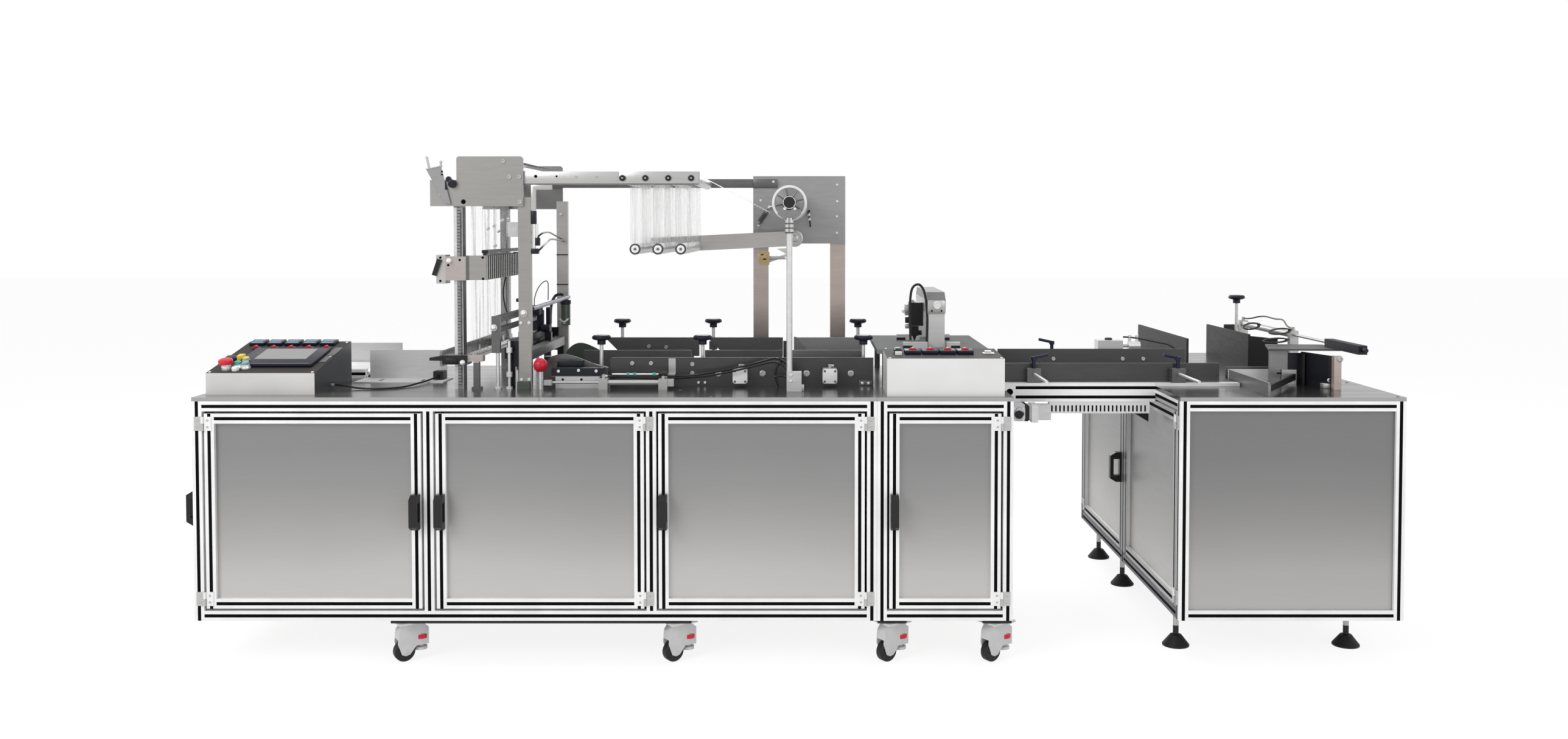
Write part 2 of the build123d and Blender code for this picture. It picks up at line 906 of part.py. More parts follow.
def guide_rollers():
    """Head rollers between the head plates, and the upper rollers between the bars."""
    made = []
    for x, z, radius in head_rollers():
        made.append(rod(radius, (x, tower_front, z), (x, tower_rear, z)))
    x, z = curtain_x() - curtain_radius - film_gap - film_thickness / 2, lever_z
    front_end = tower_front + ruler_width + 6
    made.append(rod(curtain_radius, (x, front_end, z), (x, tower_rear - ruler_width - 6, z)))
    front = tower_front + bar_thickness
    rear = tower_rear - bar_thickness
    for number in range(4):
        x = roller_x + roller_pitch * number
        made.append(rod(roller_radius, (x, front, roller_z), (x, rear, roller_z)))
    return made


def roller_bars():
    """Flat bars that carry the upper rollers, doubled round the shafts in front."""
    high = bar_bottom + bar_height
    y = tower_front
    front = block(bar_start, last_roller_x + 26, y, y + bar_thickness, bar_bottom, high)
    double = block(roller_x - 10, last_roller_x + 22, y - 6, y, bar_bottom, high)
    for number in range(4):
        x = roller_x + roller_pitch * number
        double -= rod(9, (x, y - 7, roller_z), (x, y, roller_z))
    hanger = prism(
        "y", y, y + bar_thickness,
        (bar_start + 95, bar_bottom), (bar_start + 148, bar_bottom), (bar_start + 148, bar_bottom - 16),
        (bar_start + 111, bar_bottom - 16), (bar_start + 111, bar_bottom - 80),
        (bar_start + 95, bar_bottom - 80),
    )
    y = tower_rear
    rear = block(bar_start, unwind_left + 89, y - bar_thickness, y, bar_bottom, high)
    rear += block(unwind_left, unwind_left + 89, y - bar_thickness - 5, y - bar_thickness, high - 30, high)
    return [front + double + hanger, rear]


def clamp_blocks():
    """Clamps on the ruler columns with their arm plates, and the lever clamps with their legs."""
    made = []
    left, right = ruler_x - seat_gap, ruler_x + ruler_width + seat_gap
    low = table_top + clamp_height
    for y, side in ((tower_front, -1), (tower_rear - ruler_width, 1)):
        back = y + ruler_width
        hole = block(left, right, y - seat_gap, back + seat_gap, table_top, ruler_top)
        body = block(ruler_x - 24, ruler_x + 40, y - 12, back + 12, low, low + 75)
        body += block(ruler_x - 53, ruler_x - 24, y - 12, back + 12, low - 10, low + 80)
        face = y - 12 if side < 0 else back
        arm = block(ruler_x + 40, ruler_x + 102, face, face + 12, low + 1, low + 78)
        outer = y - 20 if side < 0 else back + 12
        handle = prism(
            "y", outer, outer + 8,
            (ruler_x - 48, low + 68), (ruler_x - 34, low + 64), (ruler_x - 52, low + 14),
            (ruler_x - 65, low + 18),
        )
        made.append(body - hole + arm + handle)
        near = y - 16 if side < 0 else y - 6
        far = near + ruler_width + 22
        lever = block(ruler_x - 37, ruler_x + 45, near, far, lever_z - 15, lever_z + 15) - hole
        outer = near - 10 if side < 0 else far
        lever += prism(
            "y", outer, outer + 10,
            (ruler_x - 73, lever_z - 1), (ruler_x + 42, lever_z - 3), (ruler_x + 42, lever_z + 14),
            (ruler_x - 36, lever_z + 14), (ruler_x - 73, lever_z + 8),
        )
        lever += block(ruler_x + 45, ruler_x + 92, near, near + 30, lever_z - 5, lever_z + 14)
        lever += block(ruler_x + 62, ruler_x + 80, near, near + 18, table_top, lever_z - 5)
        lever += block(ruler_x + 56, ruler_x + 86, near, near + 24, table_top, table_top + 8)
        made.append(lever)
    return made


def comb_bar():
    """The grooved film comb between the arm plates, and the toothed plate between the levers."""
    low = table_top + clamp_height + 1
    high = low + 76
    left, right = ruler_x + 90, ruler_x + 102
    comb = block(left, right, tower_front, tower_rear, low, high)
    pitch = (tower_rear - tower_front) / (comb_teeth + 1)
    for number in range(comb_teeth):
        y = tower_front + pitch * (number + 1)
        comb -= block(right - 4, right + 1, y - 4, y + 4, low - 1, high + 1)
    comb += block(left - 4, right + 4, tower_front + 6, tower_rear - 6, high + 8, high + 18)
    for y in (tower_front + 6, tower_rear - 18):
        comb += block(left, right, y, y + 12, high, high + 8)
    left, right = ruler_x - 45, ruler_x - 37
    low, high = lever_z - 21, lever_z + 27
    teeth = block(left, right, tower_front - 10, tower_rear + 10, low, high)
    for number in range(comb_teeth):
        y = tower_front + pitch * (number + 1)
        teeth -= block(left - 1, right + 1, y - 5, y + 5, high - 14, high + 1)
    return [comb, teeth]


def seal_unit():
    """Sealing frame on its posts, the jaw with its two long bars, and the adjusting screw."""
    made = []
    front = tower_front + flat_depth + 10
    rear = tower_rear - flat_depth - 10
    near = tower_front + 4
    high = table_top + seal_height
    low = high - 116
    frame = block(858, 878, near, rear, high - 20, high)
    frame += block(858, 876, near, rear, high - 52, high - 38)
    for y in (near, rear - 14):
        frame += block(853, 880, y, y + 14, low, high)
        frame += rod(6, (871, y + 7, table_top), (871, y + 7, low))
        frame += rod(13, (871, y + 7, table_top), (871, y + 7, table_top + 6))
    made.append(frame)
    jaw_low = table_top + 93
    jaw = block(888, 928, front, rear, jaw_low, jaw_low + 35)
    jaw += block(896, 920, front, rear, jaw_low + 35, jaw_low + 57)
    jaw += block(938, 972, front + 2, rear - 2, jaw_low - 5, jaw_low + 25)
    jaw += block(942, 964, 588, 612, jaw_low + 25, jaw_low + 56)
    for y in (front, rear - 12):
        jaw += block(896, 948, y, y + 12, jaw_low - 25, jaw_low + 57)
        jaw += block(896, 920, y, y + 12, table_top, jaw_low - 25)
        jaw += block(945, 965, y, y + 12, table_top, jaw_low)
    screw_y = front - 18
    jaw += rod(5, (907, screw_y, table_top), (907, screw_y, jaw_low + 59))
    jaw += rod(11, (907, screw_y, table_top), (907, screw_y, table_top + 7))
    for z in (table_top + 38, jaw_low + 22):
        jaw += rod(10, (907, screw_y, z), (907, screw_y, z + 16))
    jaw += block(900, 914, screw_y, front, jaw_low, jaw_low + 14)
    made.append(jaw)
    return made


def film_web():
    """The film's fixed stretches: off the roll, over the table and down the tower."""
    back = film_front + film_width
    half = film_thickness / 2
    reach = film_gap + half
    span = hypot(roll_x - last_roller_x, roll_z - roller_z)
    turn = asin((roll_radius + roller_radius + 2 * reach) / span)
    angle = atan2(roll_z - roller_z, roll_x - last_roller_x) - turn
    nx, nz = -sin(angle), cos(angle)
    over = roller_radius + reach
    under = roll_radius + reach
    a = (last_roller_x + over * nx, roller_z + over * nz)
    b = (roll_x - under * nx, roll_z - under * nz)
    incoming = prism(
        "y", film_front, back,
        (a[0] - half * nx, a[1] - half * nz), (a[0] + half * nx, a[1] + half * nz),
        (b[0] + half * nx, b[1] + half * nz), (b[0] - half * nx, b[1] - half * nz),
    )
    level = film_level()
    top_x, top_z, top_radius = head_rollers()[0]
    across = block(top_x, roller_x, film_front, back, level - half, level + half)
    x = curtain_x()
    curtain = block(x - half, x + half, film_front, back, lever_z, top_z)
    return [incoming, across, curtain]


def film_loops():
    """Straight runs of film between the upper rollers and the dancer rollers."""
    made = []
    back = film_front + film_width
    half = film_thickness / 2
    for number in range(6):
        x = roller_x + roller_pitch / 4 + number * roller_pitch / 2
        made.append(block(x - half, x + half, film_front, back, dancer_z, roller_z))
    return made


def unwind_stand():
    """Rear plate on two posts with the dancer's pin, and the front rod with its cradle."""
    high = roll_z + 109
    face = tower_rear
    rear = block(unwind_left, unwind_right, face, face + head_plate, high - unwind_plate_height, high)
    post_y = face + head_plate
    for x in (unwind_left, unwind_right - unwind_post):
        rear += block(x, x + unwind_post, post_y, post_y + unwind_post_depth, table_top, high - 10)
    bore = shaft_radius + seat_gap
    rear += rod(shaft_radius + 8, (roll_x, face - 14, roll_z), (roll_x, face, roll_z))
    rear -= rod(bore, (roll_x, face - 15, roll_z), (roll_x, face + 4, roll_z))
    rear += rod(hub_pin_radius, (hub_x, face - 56, hub_z), (hub_x, face, hub_z))
    y = stand_y
    neck = roll_z - 48
    stand = rod(stand_radius, (roll_x, y, table_top), (roll_x, y, neck))
    stand += rod(stand_radius + 3.5, (roll_x, y, neck - 48), (roll_x, y, neck))
    stand += block(roll_x - 8, roll_x + 38, y - 15, y + 15, table_top, table_top + 60)
    stand += prism(
        "y", y - 5, y + 5,
        (roll_x - 18, neck - 4), (roll_x + 18, neck - 4), (roll_x + 36, neck + 10), (roll_x + 36, neck + 28),
        (roll_x + 8, neck + 24), (roll_x - 8, neck + 24), (roll_x - 36, neck + 28), (roll_x - 36, neck + 10),
    )
    drop = ((shaft_radius + 12 + seat_gap) ** 2 - 17 ** 2) ** 0.5
    for x in (roll_x - 17, roll_x + 17):
        stand += rod(12, (x, y - 7, roll_z - drop), (x, y + 7, roll_z - drop))
    clamp_z = hub_z - 55
    stand += rod(5, (roll_x - 70, y, clamp_z), (roll_x, y, clamp_z))
    stand += block(roll_x - 93, roll_x - 62, y - 10, y + 10, clamp_z - 22, clamp_z + 18)
    return [rear, stand]


def film_roll():
    """The film on its core and shaft, with the front end knob."""
    roll = rod(roll_radius, (roll_x, roll_front, roll_z), (roll_x, roll_front + roll_width, roll_z))
    roll -= rod(45, (roll_x, roll_front - 1, roll_z), (roll_x, roll_front + 10, roll_z))
    roll += rod(30, (roll_x, roll_front + 2, roll_z), (roll_x, roll_front + 12, roll_z))
    shaft = rod(shaft_radius, (roll_x, shaft_end, roll_z), (roll_x, tower_rear + 3.5, roll_z))
    return roll + shaft


def dancer_arm():
    """The swinging arm with its hub and three cantilevered rollers."""
    arm_y = tower_rear - 54
    first_x = roller_x + roller_pitch / 2
    last_x = roller_x + roller_pitch * 2.5
    tip = (first_x - 20, dancer_z + 4)
    tilt = atan2(hub_z - tip[1], hub_x - tip[0])
    up = (-sin(tilt) * 27, cos(tilt) * 27)
    arm = prism(
        "y", arm_y, arm_y + 8,
        (tip[0] - up[0], tip[1] - up[1]), (tip[0] + up[0], tip[1] + up[1]),
        (hub_x + up[0], hub_z + up[1]), (hub_x - up[0], hub_z - up[1]),
    )
    arm += rod(hub_radius, (hub_x, arm_y, hub_z), (hub_x, tower_rear - 1, hub_z))
    arm -= rod(hub_pin_radius + seat_gap, (hub_x, arm_y - 1, hub_z), (hub_x, tower_rear, hub_z))
    for number in range(3):
        x = first_x + (last_x - first_x) * number / 2
        arm += rod(roller_radius, (x, tower_front + 15, dancer_z), (x, arm_y, dancer_z))
    return arm


def guide_plates():
    """Upright guides along the product track and the conveyor."""
    made = []
    high = table_top + guide_height
    y = front_guide_y
    front = block(guide_start, main_width + 3, y, y + guide_thickness, table_top, high)
    top_corner = front.edges().filter_by(Axis.Y).sort_by(Axis.X)[:2].sort_by(Axis.Z)[-1:]
    made.append(fillet(top_corner, 8))
    y = middle_guide_y
    for left, right in ((1086, 1453), (1499, 1765)):
        middle = block(left, right, y, y + guide_thickness, table_top + 18, high)
        for x in (left + 24, right - 48):
            middle += block(x, x + 24, y, y + guide_thickness, table_top, table_top + 18)
        made.append(middle)
    rear_high = table_top + rear_guide_height
    lip = rear_high - 67
    y = rear_guide_y
    for left, right, x in zip((1121, 1489, 1800), (1460, 1761, 2045), knob_x):
        plate = prism("y", y, y + 12, (left, rear_high), (right, rear_high), (right, lip), (left + 66, lip))
        bore = knob_rod_radius + seat_gap
        plate += block(x - 14, x + 14, y + 12, knob_rear_y + 14, rear_high - 45, rear_high - 15)
        plate -= rod(bore, (x, knob_rear_y, rear_high - 60), (x, knob_rear_y, rear_high))
        for leg in (left + 80, right - 40):
            plate += block(leg, leg + 20, y, y + 12, table_top, rear_high - 60)
        made.append(plate)
    y = beam_front + profile + 3
    start, end = beam_start - 34, infeed_x + guide_overhang
    made.append(block(start, end, y, y + guide_thickness, beam_top, beam_top + 61))
    y = beam_rear + 2
    made.append(block(start + 26, end - 22, y, y + guide_thickness, beam_top, beam_top + 78))
    return made


def folding_plows():
    """Curved plates that fold the film at the start of the track."""
    made = []
    for y, left, right in ((front_guide_y, 998, 1206), (700, 995, 1166)):
        outline = Polyline((left, table_top), (left, table_top + 70))
        crown = Spline(
            (left, table_top + 70), (left + 55, table_top + 102), (right - 30, table_top + 66),
            (right, table_top + 58),
        )
        close = Polyline((right, table_top + 58), (right, table_top), (left, table_top))
        face = make_face(outline + crown + close)
        plate = extrude(face, 5)
        made.append(Pos(0, y + 5, 0) * Rot(90, 0, 0) * plate)
    return made


def adjuster_spots():
    """Place and top of each hand-knob rod."""
    spots = []
    for x in knob_x:
        spots.append((x, knob_front_y, knob_front_z))
        spots.append((x, knob_rear_y, knob_rear_z))
    spots.append((infeed_end - 150, infeed_depth - 290, table_top + 250))
    return spots


def adjuster_rods():
    """Rods under the hand knobs, and the ball lever's post."""
    made = []
    for x, y, high in adjuster_spots():
        made.append(rod(knob_rod_radius, (x, y, table_top), (x, y, high - 30)))
    made.append(rod(5.5, (ball_x, tower_front, table_top), (ball_x, tower_front, table_top + 56)))
    return made


def adjuster_knobs():
    """Round hand knobs, and the lever's ball."""
    made = []
    for x, y, high in adjuster_spots():
        hub = rod(13, (x, y, high - 30), (x, y, high - 12))
        disc = rod(knob_radius, (x, y, high - 14), (x, y, high))
        disc = chamfer(disc.edges().filter_by(GeomType.CIRCLE), 4)
        made.append(hub + disc)
    ball = Pos(ball_x, tower_front, table_top + 76) * Sphere(ball_radius)
    reach = ball_radius + 1
    ball -= block(
        ball_x - reach, ball_x + reach, tower_front - reach, tower_front + reach, table_top, table_top + 56
    )
    made.append(ball)
    return made


def air_cylinders():
    """Compact cylinders on the front guide, the long one beside it, its slide and its bracket."""
    made = []
    half = cylinder_size / 2
    y = front_guide_y
    low, high = table_top + 12, table_top + 12 + cylinder_size
    for x in cylinder_x:
        body = block(x - half, x + half, y - 40, y, low, high)
        made.append(fillet(body.edges().filter_by(Axis.Y), 5) + elbow(x, y - 20, high, 1, 0))
    bracket = block(1403, 1426, y - 4, y, table_top + 37, table_top + 89)
    bracket += block(1403, 1426, y - 24, y - 4, table_top + 37, table_top + 41)
    made.append(bracket)
    y = tower_front
    left, right = rodless_start, rodless_start + rodless_length
    long = rod(8.5, (left, y, rodless_z), (right, y, rodless_z))
    for x in rodless_ports:
        long += block(x - 14, x + 14, y - 14, y + 14, table_top, rodless_z + 12)
        long += elbow(x, y, rodless_z + 12, 1, 0)
    long += block(right - 20, right, y - 11, y + 11, rodless_z - 11, rodless_z + 11)
    long += rod(4, (left - 153, y, rodless_z), (left, y, rodless_z))
    long += block(left - 173, left - 149, y - 8, y + 8, rodless_z - 8, rodless_z + 8)
    made.append(long)
    slide = block(left - 143, left - 3, y + 25, y + 55, table_top, table_top + 38)
    slide += block(left - 155, left + 9, y + 22, y + 58, table_top + 38, table_top + 64)
    made.append(slide)
    return made


def air_filter():
    """The filter bowl on the rear flat column."""
    x = flat_x + flat_width - 6
    y = tower_rear - flat_depth - 20
    low = table_top + 158
    bowl = rod(17.7, (x, y, low), (x, y, low + 77)) + rod(20, (x, y, low + 77), (x, y, low + 90))
    bowl += block(x - 8, x + 6, y, y + 20, low + 78, low + 89)
    return bowl


def station_plate():
    """The raised plate behind the switch box, on four legs."""
    low, high = table_top + station_low, plate_top
    right = station_x + station_width
    back = cabinet_depth - 10
    plate = block(station_x, right, station_front, back, low, high)
    for x in (station_x + 28, right - 28):
        for y in (station_front + 30, back - 30):
            plate += rod(10, (x, y, table_top), (x, y, low))
    return plate


def station_arch():
    """An arch across the plate, its sloped cap, and the clamp bars on both sides."""
    front = station_front + 56
    back = cabinet_depth - 36
    left, right = arch_x, arch_x + arch_width
    high = table_top + arch_height
    beam = high - 69
    arch = block(left, right, front + 4, front + 44, plate_top, beam + 5)
    arch += block(left, right, back - 44, back - 4, plate_top, beam + 5)
    arch += prism(
        "x", left - 3, right + 3,
        (front, beam), (back, beam), (back, high - 26), (back - 44, high), (front + 44, high),
        (front, high - 26),
    )
    made = [arch]
    for y in (front - 24, back - 174):
        for x, length in ((left - 85, 80), (right + 6, 42)):
            made.append(block(x, x + length, y, y + 20, plate_top, plate_top + 20))
    return made


def station_head():
    """The applicator that hangs beside the arch."""
    right = arch_x - 3
    high = table_top + arch_height - 42
    y = station_front + 220
    body = block(right - 47, right, y, y + 60, high - 80, high)
    body += block(right - 41, right - 15, y + 10, y + 50, high - 115, high - 80)
    body += prism(
        "y", y + 20, y + 40,
        (right - 35, high - 115), (right - 21, high - 115), (right - 26, high - 131), (right - 30, high - 131),
    )
    body += block(right - 61, right - 47, y + 15, y + 45, high - 45, high - 9)
    return body


def conveyor_beams():
    """Side beams of the bridge with end plates, and the strip over the infeed table."""
    made = []
    length = infeed_x - beam_start
    for y in (beam_front, beam_rear):
        beam = slotted_bar("x", beam_start, y, beam_low, length, 2)
        end = prism(
            "y", y, y + profile,
            (beam_start - 36, beam_top), (beam_start, beam_top), (beam_start, beam_low),
            (beam_start - 12, beam_low), (beam_start - 36, beam_low + 32),
        )
        made.append(beam + end)
        made.append(block(infeed_x + 1, strip_end, y, y + profile, table_top, beam_top))
    return made


def conveyor_belt():
    """The belt loop over its end rollers, and its bed over the infeed table."""
    front = beam_front + profile + belt_gap
    back = beam_rear - belt_gap
    start = beam_start - 14
    end = infeed_x - 30
    axis_z = beam_top - 2 - belt_radius
    loop = block(start, end, front, back, axis_z - belt_radius, axis_z + belt_radius)
    for x in (start, end):
        loop += rod(belt_radius, (x, front, axis_z), (x, back, axis_z))
    inner = belt_radius - belt_thickness
    hollow = block(start, end, front - 1, back + 1, axis_z - inner, axis_z + inner)
    for x in (start, end):
        hollow += rod(inner, (x, front - 1, axis_z), (x, back + 1, axis_z))
    loop -= hollow
    over = block(infeed_x + 1, strip_end, front, back, table_top, beam_top - 2)
    return [loop, over]


def conveyor_rollers():
    """End rollers inside the belt, held by the side beams."""
    made = []
    axis_z = beam_top - 2 - belt_radius
    inner = belt_radius - belt_thickness - seat_gap
    front = beam_front + profile
    for x in (beam_start - 14, infeed_x - 30):
        made.append(rod(inner, (x, front, axis_z), (x, beam_rear, axis_z)))
    return made


def gear_motor():
    """The gear motor under the bridge's left end: gearbox, flange and motor."""
    high = beam_low
    low = high - 52
    left = beam_start - 18
    middle = high - 27
    motor = block(left, left + 50, 200, 300, low, high)
    motor = chamfer(motor.edges().filter_by(Axis.Y), 5)
    motor += rod(20, (left + 24, 192, middle), (left + 24, 200, middle))
    motor -= rod(8, (left + 24, 191, middle), (left + 24, 204, middle))
    motor += block(left + 50, left + 58, 212, 268, low + 4, high - 4)
    motor += block(left + 58, left + 78, 204, 274, low - 5, high - 1)
    motor += block(left + 78, left + 120, 210, 268, low + 2, high - 4)
    return motor


def guide_drive():
    """The adjusting drive on the rear beam: bracket, box and a short cylinder."""
    left = infeed_x - 101
    right = left + 87
    y = beam_rear + profile
    middle = beam_top + 83
    drive = block(left + 16, right - 16, y, y + 6, beam_low + 6, beam_top + 60)
    drive += block(left, right, y + 6, y + 66, beam_top + 50, beam_top + 104)
    drive += rod(6, (right, y + 36, middle), (right + 25, y + 36, middle))
    drive += rod(15.5, (right + 25, y + 36, middle), (right + 66, y + 36, middle))
    return drive


def cable_duct():
    """The slotted cable duct under the front beam."""
    low = beam_low - 38
    left, right = beam_start + 109, infeed_x - 18.5
    y = beam_front + 2
    duct = block(left, right, y, y + 25, low, beam_low)
    slots = 24
    pitch = (right - left - 10) / slots
    for number in range(slots):
        x = left + 6 + pitch * number
        duct -= block(x, x + 5, y - 1, y + 3, low + 6, beam_low - 12)
    duct += prism("y", y + 4, y + 20, (right - 49, low), (right - 2, low), (right - 2, low - 28))
    return duct


def clamp_spots():
    """Middles of the clamp blocks on the front beam, and where each lever points."""
    return ((beam_start + 60, 1), (infeed_x + 75.5, -1))


def guide_clamps():
    """Clamp blocks on the beams, the front pair with adjusting rods."""
    made = []
    y = beam_front
    low, high = beam_top, beam_top + 46
    for x, side in clamp_spots():
        body = block(x - 22, x + 22, y + 2, y + profile + 3, low, high)
        body += rod(5, (x + 2, y - 207, low + 28), (x + 2, y + 4, low + 28))
        made.append(body)
    x = infeed_x - 267
    y = beam_rear + 10
    made.append(block(x - 18, x + 18, y, y + 18, low, beam_top + 66))
    return made


def clamp_levers():
    """Adjustable clamping levers on the clamp blocks."""
    made = []
    spots = [(x, beam_front + 16, beam_top + 46, side) for x, side in clamp_spots()]
    spots.append((infeed_x - 267, beam_rear + 19, beam_top + 66, -1))
    for x, y, low, side in spots:
        post = rod(6, (x, y, low), (x, y, low + 28)) + rod(9, (x, y, low + 26), (x, y, low + 38))
        arm = rod(5, (x, y, low + 34), (x + side * 46, y, low + 44))
        made.append(post + arm)
    return made


def infeed_guides():
    """Upright plates across the infeed table, and the folded stop in front."""
    made = []
    high = table_top + wall_height
    thick = wall_thickness
    rear = infeed_depth - 2
    x = infeed_x + wall_near
    made.append(block(x, x + thick, 700, rear - 14, table_top, high))
    made.append(block(wall_x, wall_x + thick, wall_front, rear, table_top, high))
    made.append(block(wall_x + 60, wall_x + 126, rear - 40, rear - 32, table_top, high + 2))
    made.append(
        prism(
            "z", table_top, high - 6,
            (wall_x, wall_front - 2), (wall_x + thick, wall_front - 2),
            (wall_x + 66, wall_front - 118), (wall_x + 58, wall_front - 118),
        )
    )
    x = strip_end + 5
    back = stop_front + stop_length
    low, top = table_top, table_top + stop_height
    stop = block(x, x + 6, stop_front, back, low, top)
    stop += block(x, x + 151, back, back + 6, low, top)
    stop += prism(
        "z", low + 13, low + 33,
        (x + 2, stop_front), (x + 8, stop_front), (x + 200, pusher_y - 7), (x + 190, pusher_y - 7),
    )
    stop += block(x + 154, x + 202, pusher_y - 7, pusher_y - 1, low, low + 46)
    made.append(stop)
    made.append(block(x, x + 160, back + 30, back + 36, low, low + 46))
    return made


def pusher_frame():
    """The pusher's plates and end post under its top plate."""
    low, high = table_top, table_top + pusher_height
    x = wall_x - 114
    y = pusher_y
    frame = block(x, x + 62, y, y + 6, low, high + 6)
    frame += block(x + 62, x + 106, y, y + 6, low, high - 4)
    frame += block(x + 100, x + 106, y - 30, y, low, high - 4)
    frame += prism(
        "z", low, high,
        (x + 106, y - 2), (x + 106, y + 6), (x + 112, y + 2), (x + 154, y - 145), (x + 148, y - 145),
    )
    frame += block(x + 147, x + 170, y - 164, y - 145, low, high + 2)
    frame += prism(
        "z", high + 6, high + 12,
        (x - 8, y - 20), (x + 225, y - 40), (x + 225, y + 130), (x + 40, y + 150),
    )
    return frame


def pusher_cylinder():
    """The long pusher cylinder along the infeed table, on its brackets."""
    x = infeed_end - pusher_x
    z = table_top + pusher_axis
    near, far = pusher_ports
    slide_front, slide_rear = 125.0, 388.0
    body = rod(12, (x, near, z), (x, far, z))
    body += rod(5, (x, slide_rear, z), (x, near, z))
    body += block(x - 14, x + 14, slide_front, slide_rear, table_top + pusher_height + 12, z + 13)
    body += rod(7, (x, slide_front - 25, z), (x, slide_front, z))
    for y, side in ((near, 1), (far, -1)):
        body += block(x - 15, x + 15, y - 12, y + 12, table_top, z + 14)
        body += elbow(x, y, z + 14, 0, side)
    return body


def nodes():
    """Every node's solids, in the order of the build."""
    made = {
        "posts": posts(),
        "long_rails": long_rails(),
        "cross_rails": cross_rails(),
        "table_plates": table_plates(),
        "fixed_panels": fixed_panels() + floor_plates(),
        "fixed_doors": fixed_doors(),
        "hinge_plates": hinge_plates(),
        "caster_mounts": caster_mounts(),
        "casters": casters(),
        "caster_wheels": caster_wheels(),
        "levelling_feet": levelling_feet(),
        "control_boxes": control_boxes(),
        "touch_screen": touch_screen(),
        "panel_controls": panel_controls() + temperature_controllers(),
        "probe_cable": probe_cable(),
        "air_hoses": air_hoses(),
        "sensor_heads": [probe_sensor(), station_head()],
        "outfeed_guides": outfeed_guides(),
        "outfeed_conveyor": outfeed_conveyor(),
        "tower_columns": ruler_columns() + flat_columns(),
        "head_plates": head_plates(),
        "rollers": guide_rollers() + conveyor_rollers(),
        "roller_bars": roller_bars(),
        "clamp_blocks": clamp_blocks() + guide_clamps(),
        "seal_unit": seal_unit() + comb_bar(),
        "film_web": film_web(),
        "film_loops": film_loops(),
        "unwind_stand": unwind_stand(),
        "film_roll": [film_roll()],
        "dancer_arm": [dancer_arm()],
        "guide_plates": guide_plates() + folding_plows(),
        "adjuster_rods": adjuster_rods(),
        "hand_knobs": adjuster_knobs() + clamp_levers(),
        "air_cylinders": air_cylinders() + [air_filter(), pusher_cylinder()],
        "station_plate": [station_plate()],
        "station_arch": station_arch(),
        "conveyor_beams": conveyor_beams(),
        "conveyor_belt": conveyor_belt(),
        "gear_motor": [gear_motor(), guide_drive()],
        "cable_duct": [cable_duct()],
        "infeed_channel": infeed_guides() + [pusher_frame()],
    }
    for p in door_places():
        made[p["name"] + "_frame"] = [p["place"] * door_frame(p["width"], p["mirrored"])]
        made[p["name"] + "_panel"] = [p["place"] * door_sheet(p["width"], p["mirrored"])]
        made[p["name"] + "_handle"] = [p["place"] * door_handle(p["width"], p["mirrored"])]
    return made


def main():
    os.makedirs("parts", exist_ok=True)
    shift = Pos(-centre_x, -centre_y, 0)
    for name, shapes in nodes().items():
        solids = [solid for shape in shapes for solid in shape.solids()]
        whole = Compound(children=[shift * solid for solid in solids])
        export_step(whole, "parts/" + name + ".step")


if __name__ == "__main__":
    main()
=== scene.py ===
import bpy
import json
import math
from mathutils import Matrix, Vector


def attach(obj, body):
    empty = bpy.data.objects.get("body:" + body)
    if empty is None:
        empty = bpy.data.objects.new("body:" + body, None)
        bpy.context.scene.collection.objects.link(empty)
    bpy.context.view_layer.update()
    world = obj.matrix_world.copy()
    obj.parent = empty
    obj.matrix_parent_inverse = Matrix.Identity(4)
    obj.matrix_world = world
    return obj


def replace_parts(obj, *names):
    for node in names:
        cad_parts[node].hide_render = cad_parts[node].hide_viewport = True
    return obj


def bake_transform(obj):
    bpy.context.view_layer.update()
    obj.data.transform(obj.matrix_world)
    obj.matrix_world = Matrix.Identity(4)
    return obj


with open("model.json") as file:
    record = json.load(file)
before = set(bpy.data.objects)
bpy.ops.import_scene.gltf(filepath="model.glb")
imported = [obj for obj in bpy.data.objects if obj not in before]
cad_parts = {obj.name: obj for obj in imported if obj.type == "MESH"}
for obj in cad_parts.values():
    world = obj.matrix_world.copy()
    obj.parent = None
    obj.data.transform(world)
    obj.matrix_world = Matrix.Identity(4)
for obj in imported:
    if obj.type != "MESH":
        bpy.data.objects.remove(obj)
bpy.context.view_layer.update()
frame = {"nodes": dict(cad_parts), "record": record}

# machine millimetres: x from the main cabinet's left edge, y from the front faces, z from the floor
machine = {
    "centreX": 1809.5, "centreY": 675.0, "bottom": 135.0, "top": 800.0, "tableTop": 812.0, "bar": 30.0,
    "depth": 900.0, "infeedDepth": 1390.0, "mainEnd": 2060.0, "junctionX": 2060.5, "junctionEnd": 2470.5,
    "infeedX": 2970.5, "infeedEnd": 3650.5, "midPosts": (695.0, 1365.0), "sidePost": 680.0,
}
# the lens and sensor in millimetres, where the camera stands, and its angle from looking down
view = {
    "lens": 29.627, "sensor": 36, "shift": (-0.0163, -0.0629), "place": (1857.0, -3860.0, 1320.4),
    "tilt": 88.1,
}


def spot(x, y, z):
    return Vector(((x - machine["centreX"]) / 1000, (y - machine["centreY"]) / 1000, z / 1000))


def deselect():
    if bpy.context.mode != "OBJECT":
        bpy.ops.object.mode_set(mode="OBJECT")
    bpy.ops.object.select_all(action="DESELECT")


def setCamera():
    camera = bpy.data.cameras.new("camera")
    camera.lens, camera.sensor_width = view["lens"], view["sensor"]
    camera.shift_x, camera.shift_y = view["shift"]
    camera.clip_end = 100
    holder = bpy.data.objects.new("camera", camera)
    bpy.context.scene.collection.objects.link(holder)
    holder.location = spot(*view["place"])
    holder.rotation_euler = (math.radians(view["tilt"]), 0, 0)
    bpy.context.scene.camera = holder


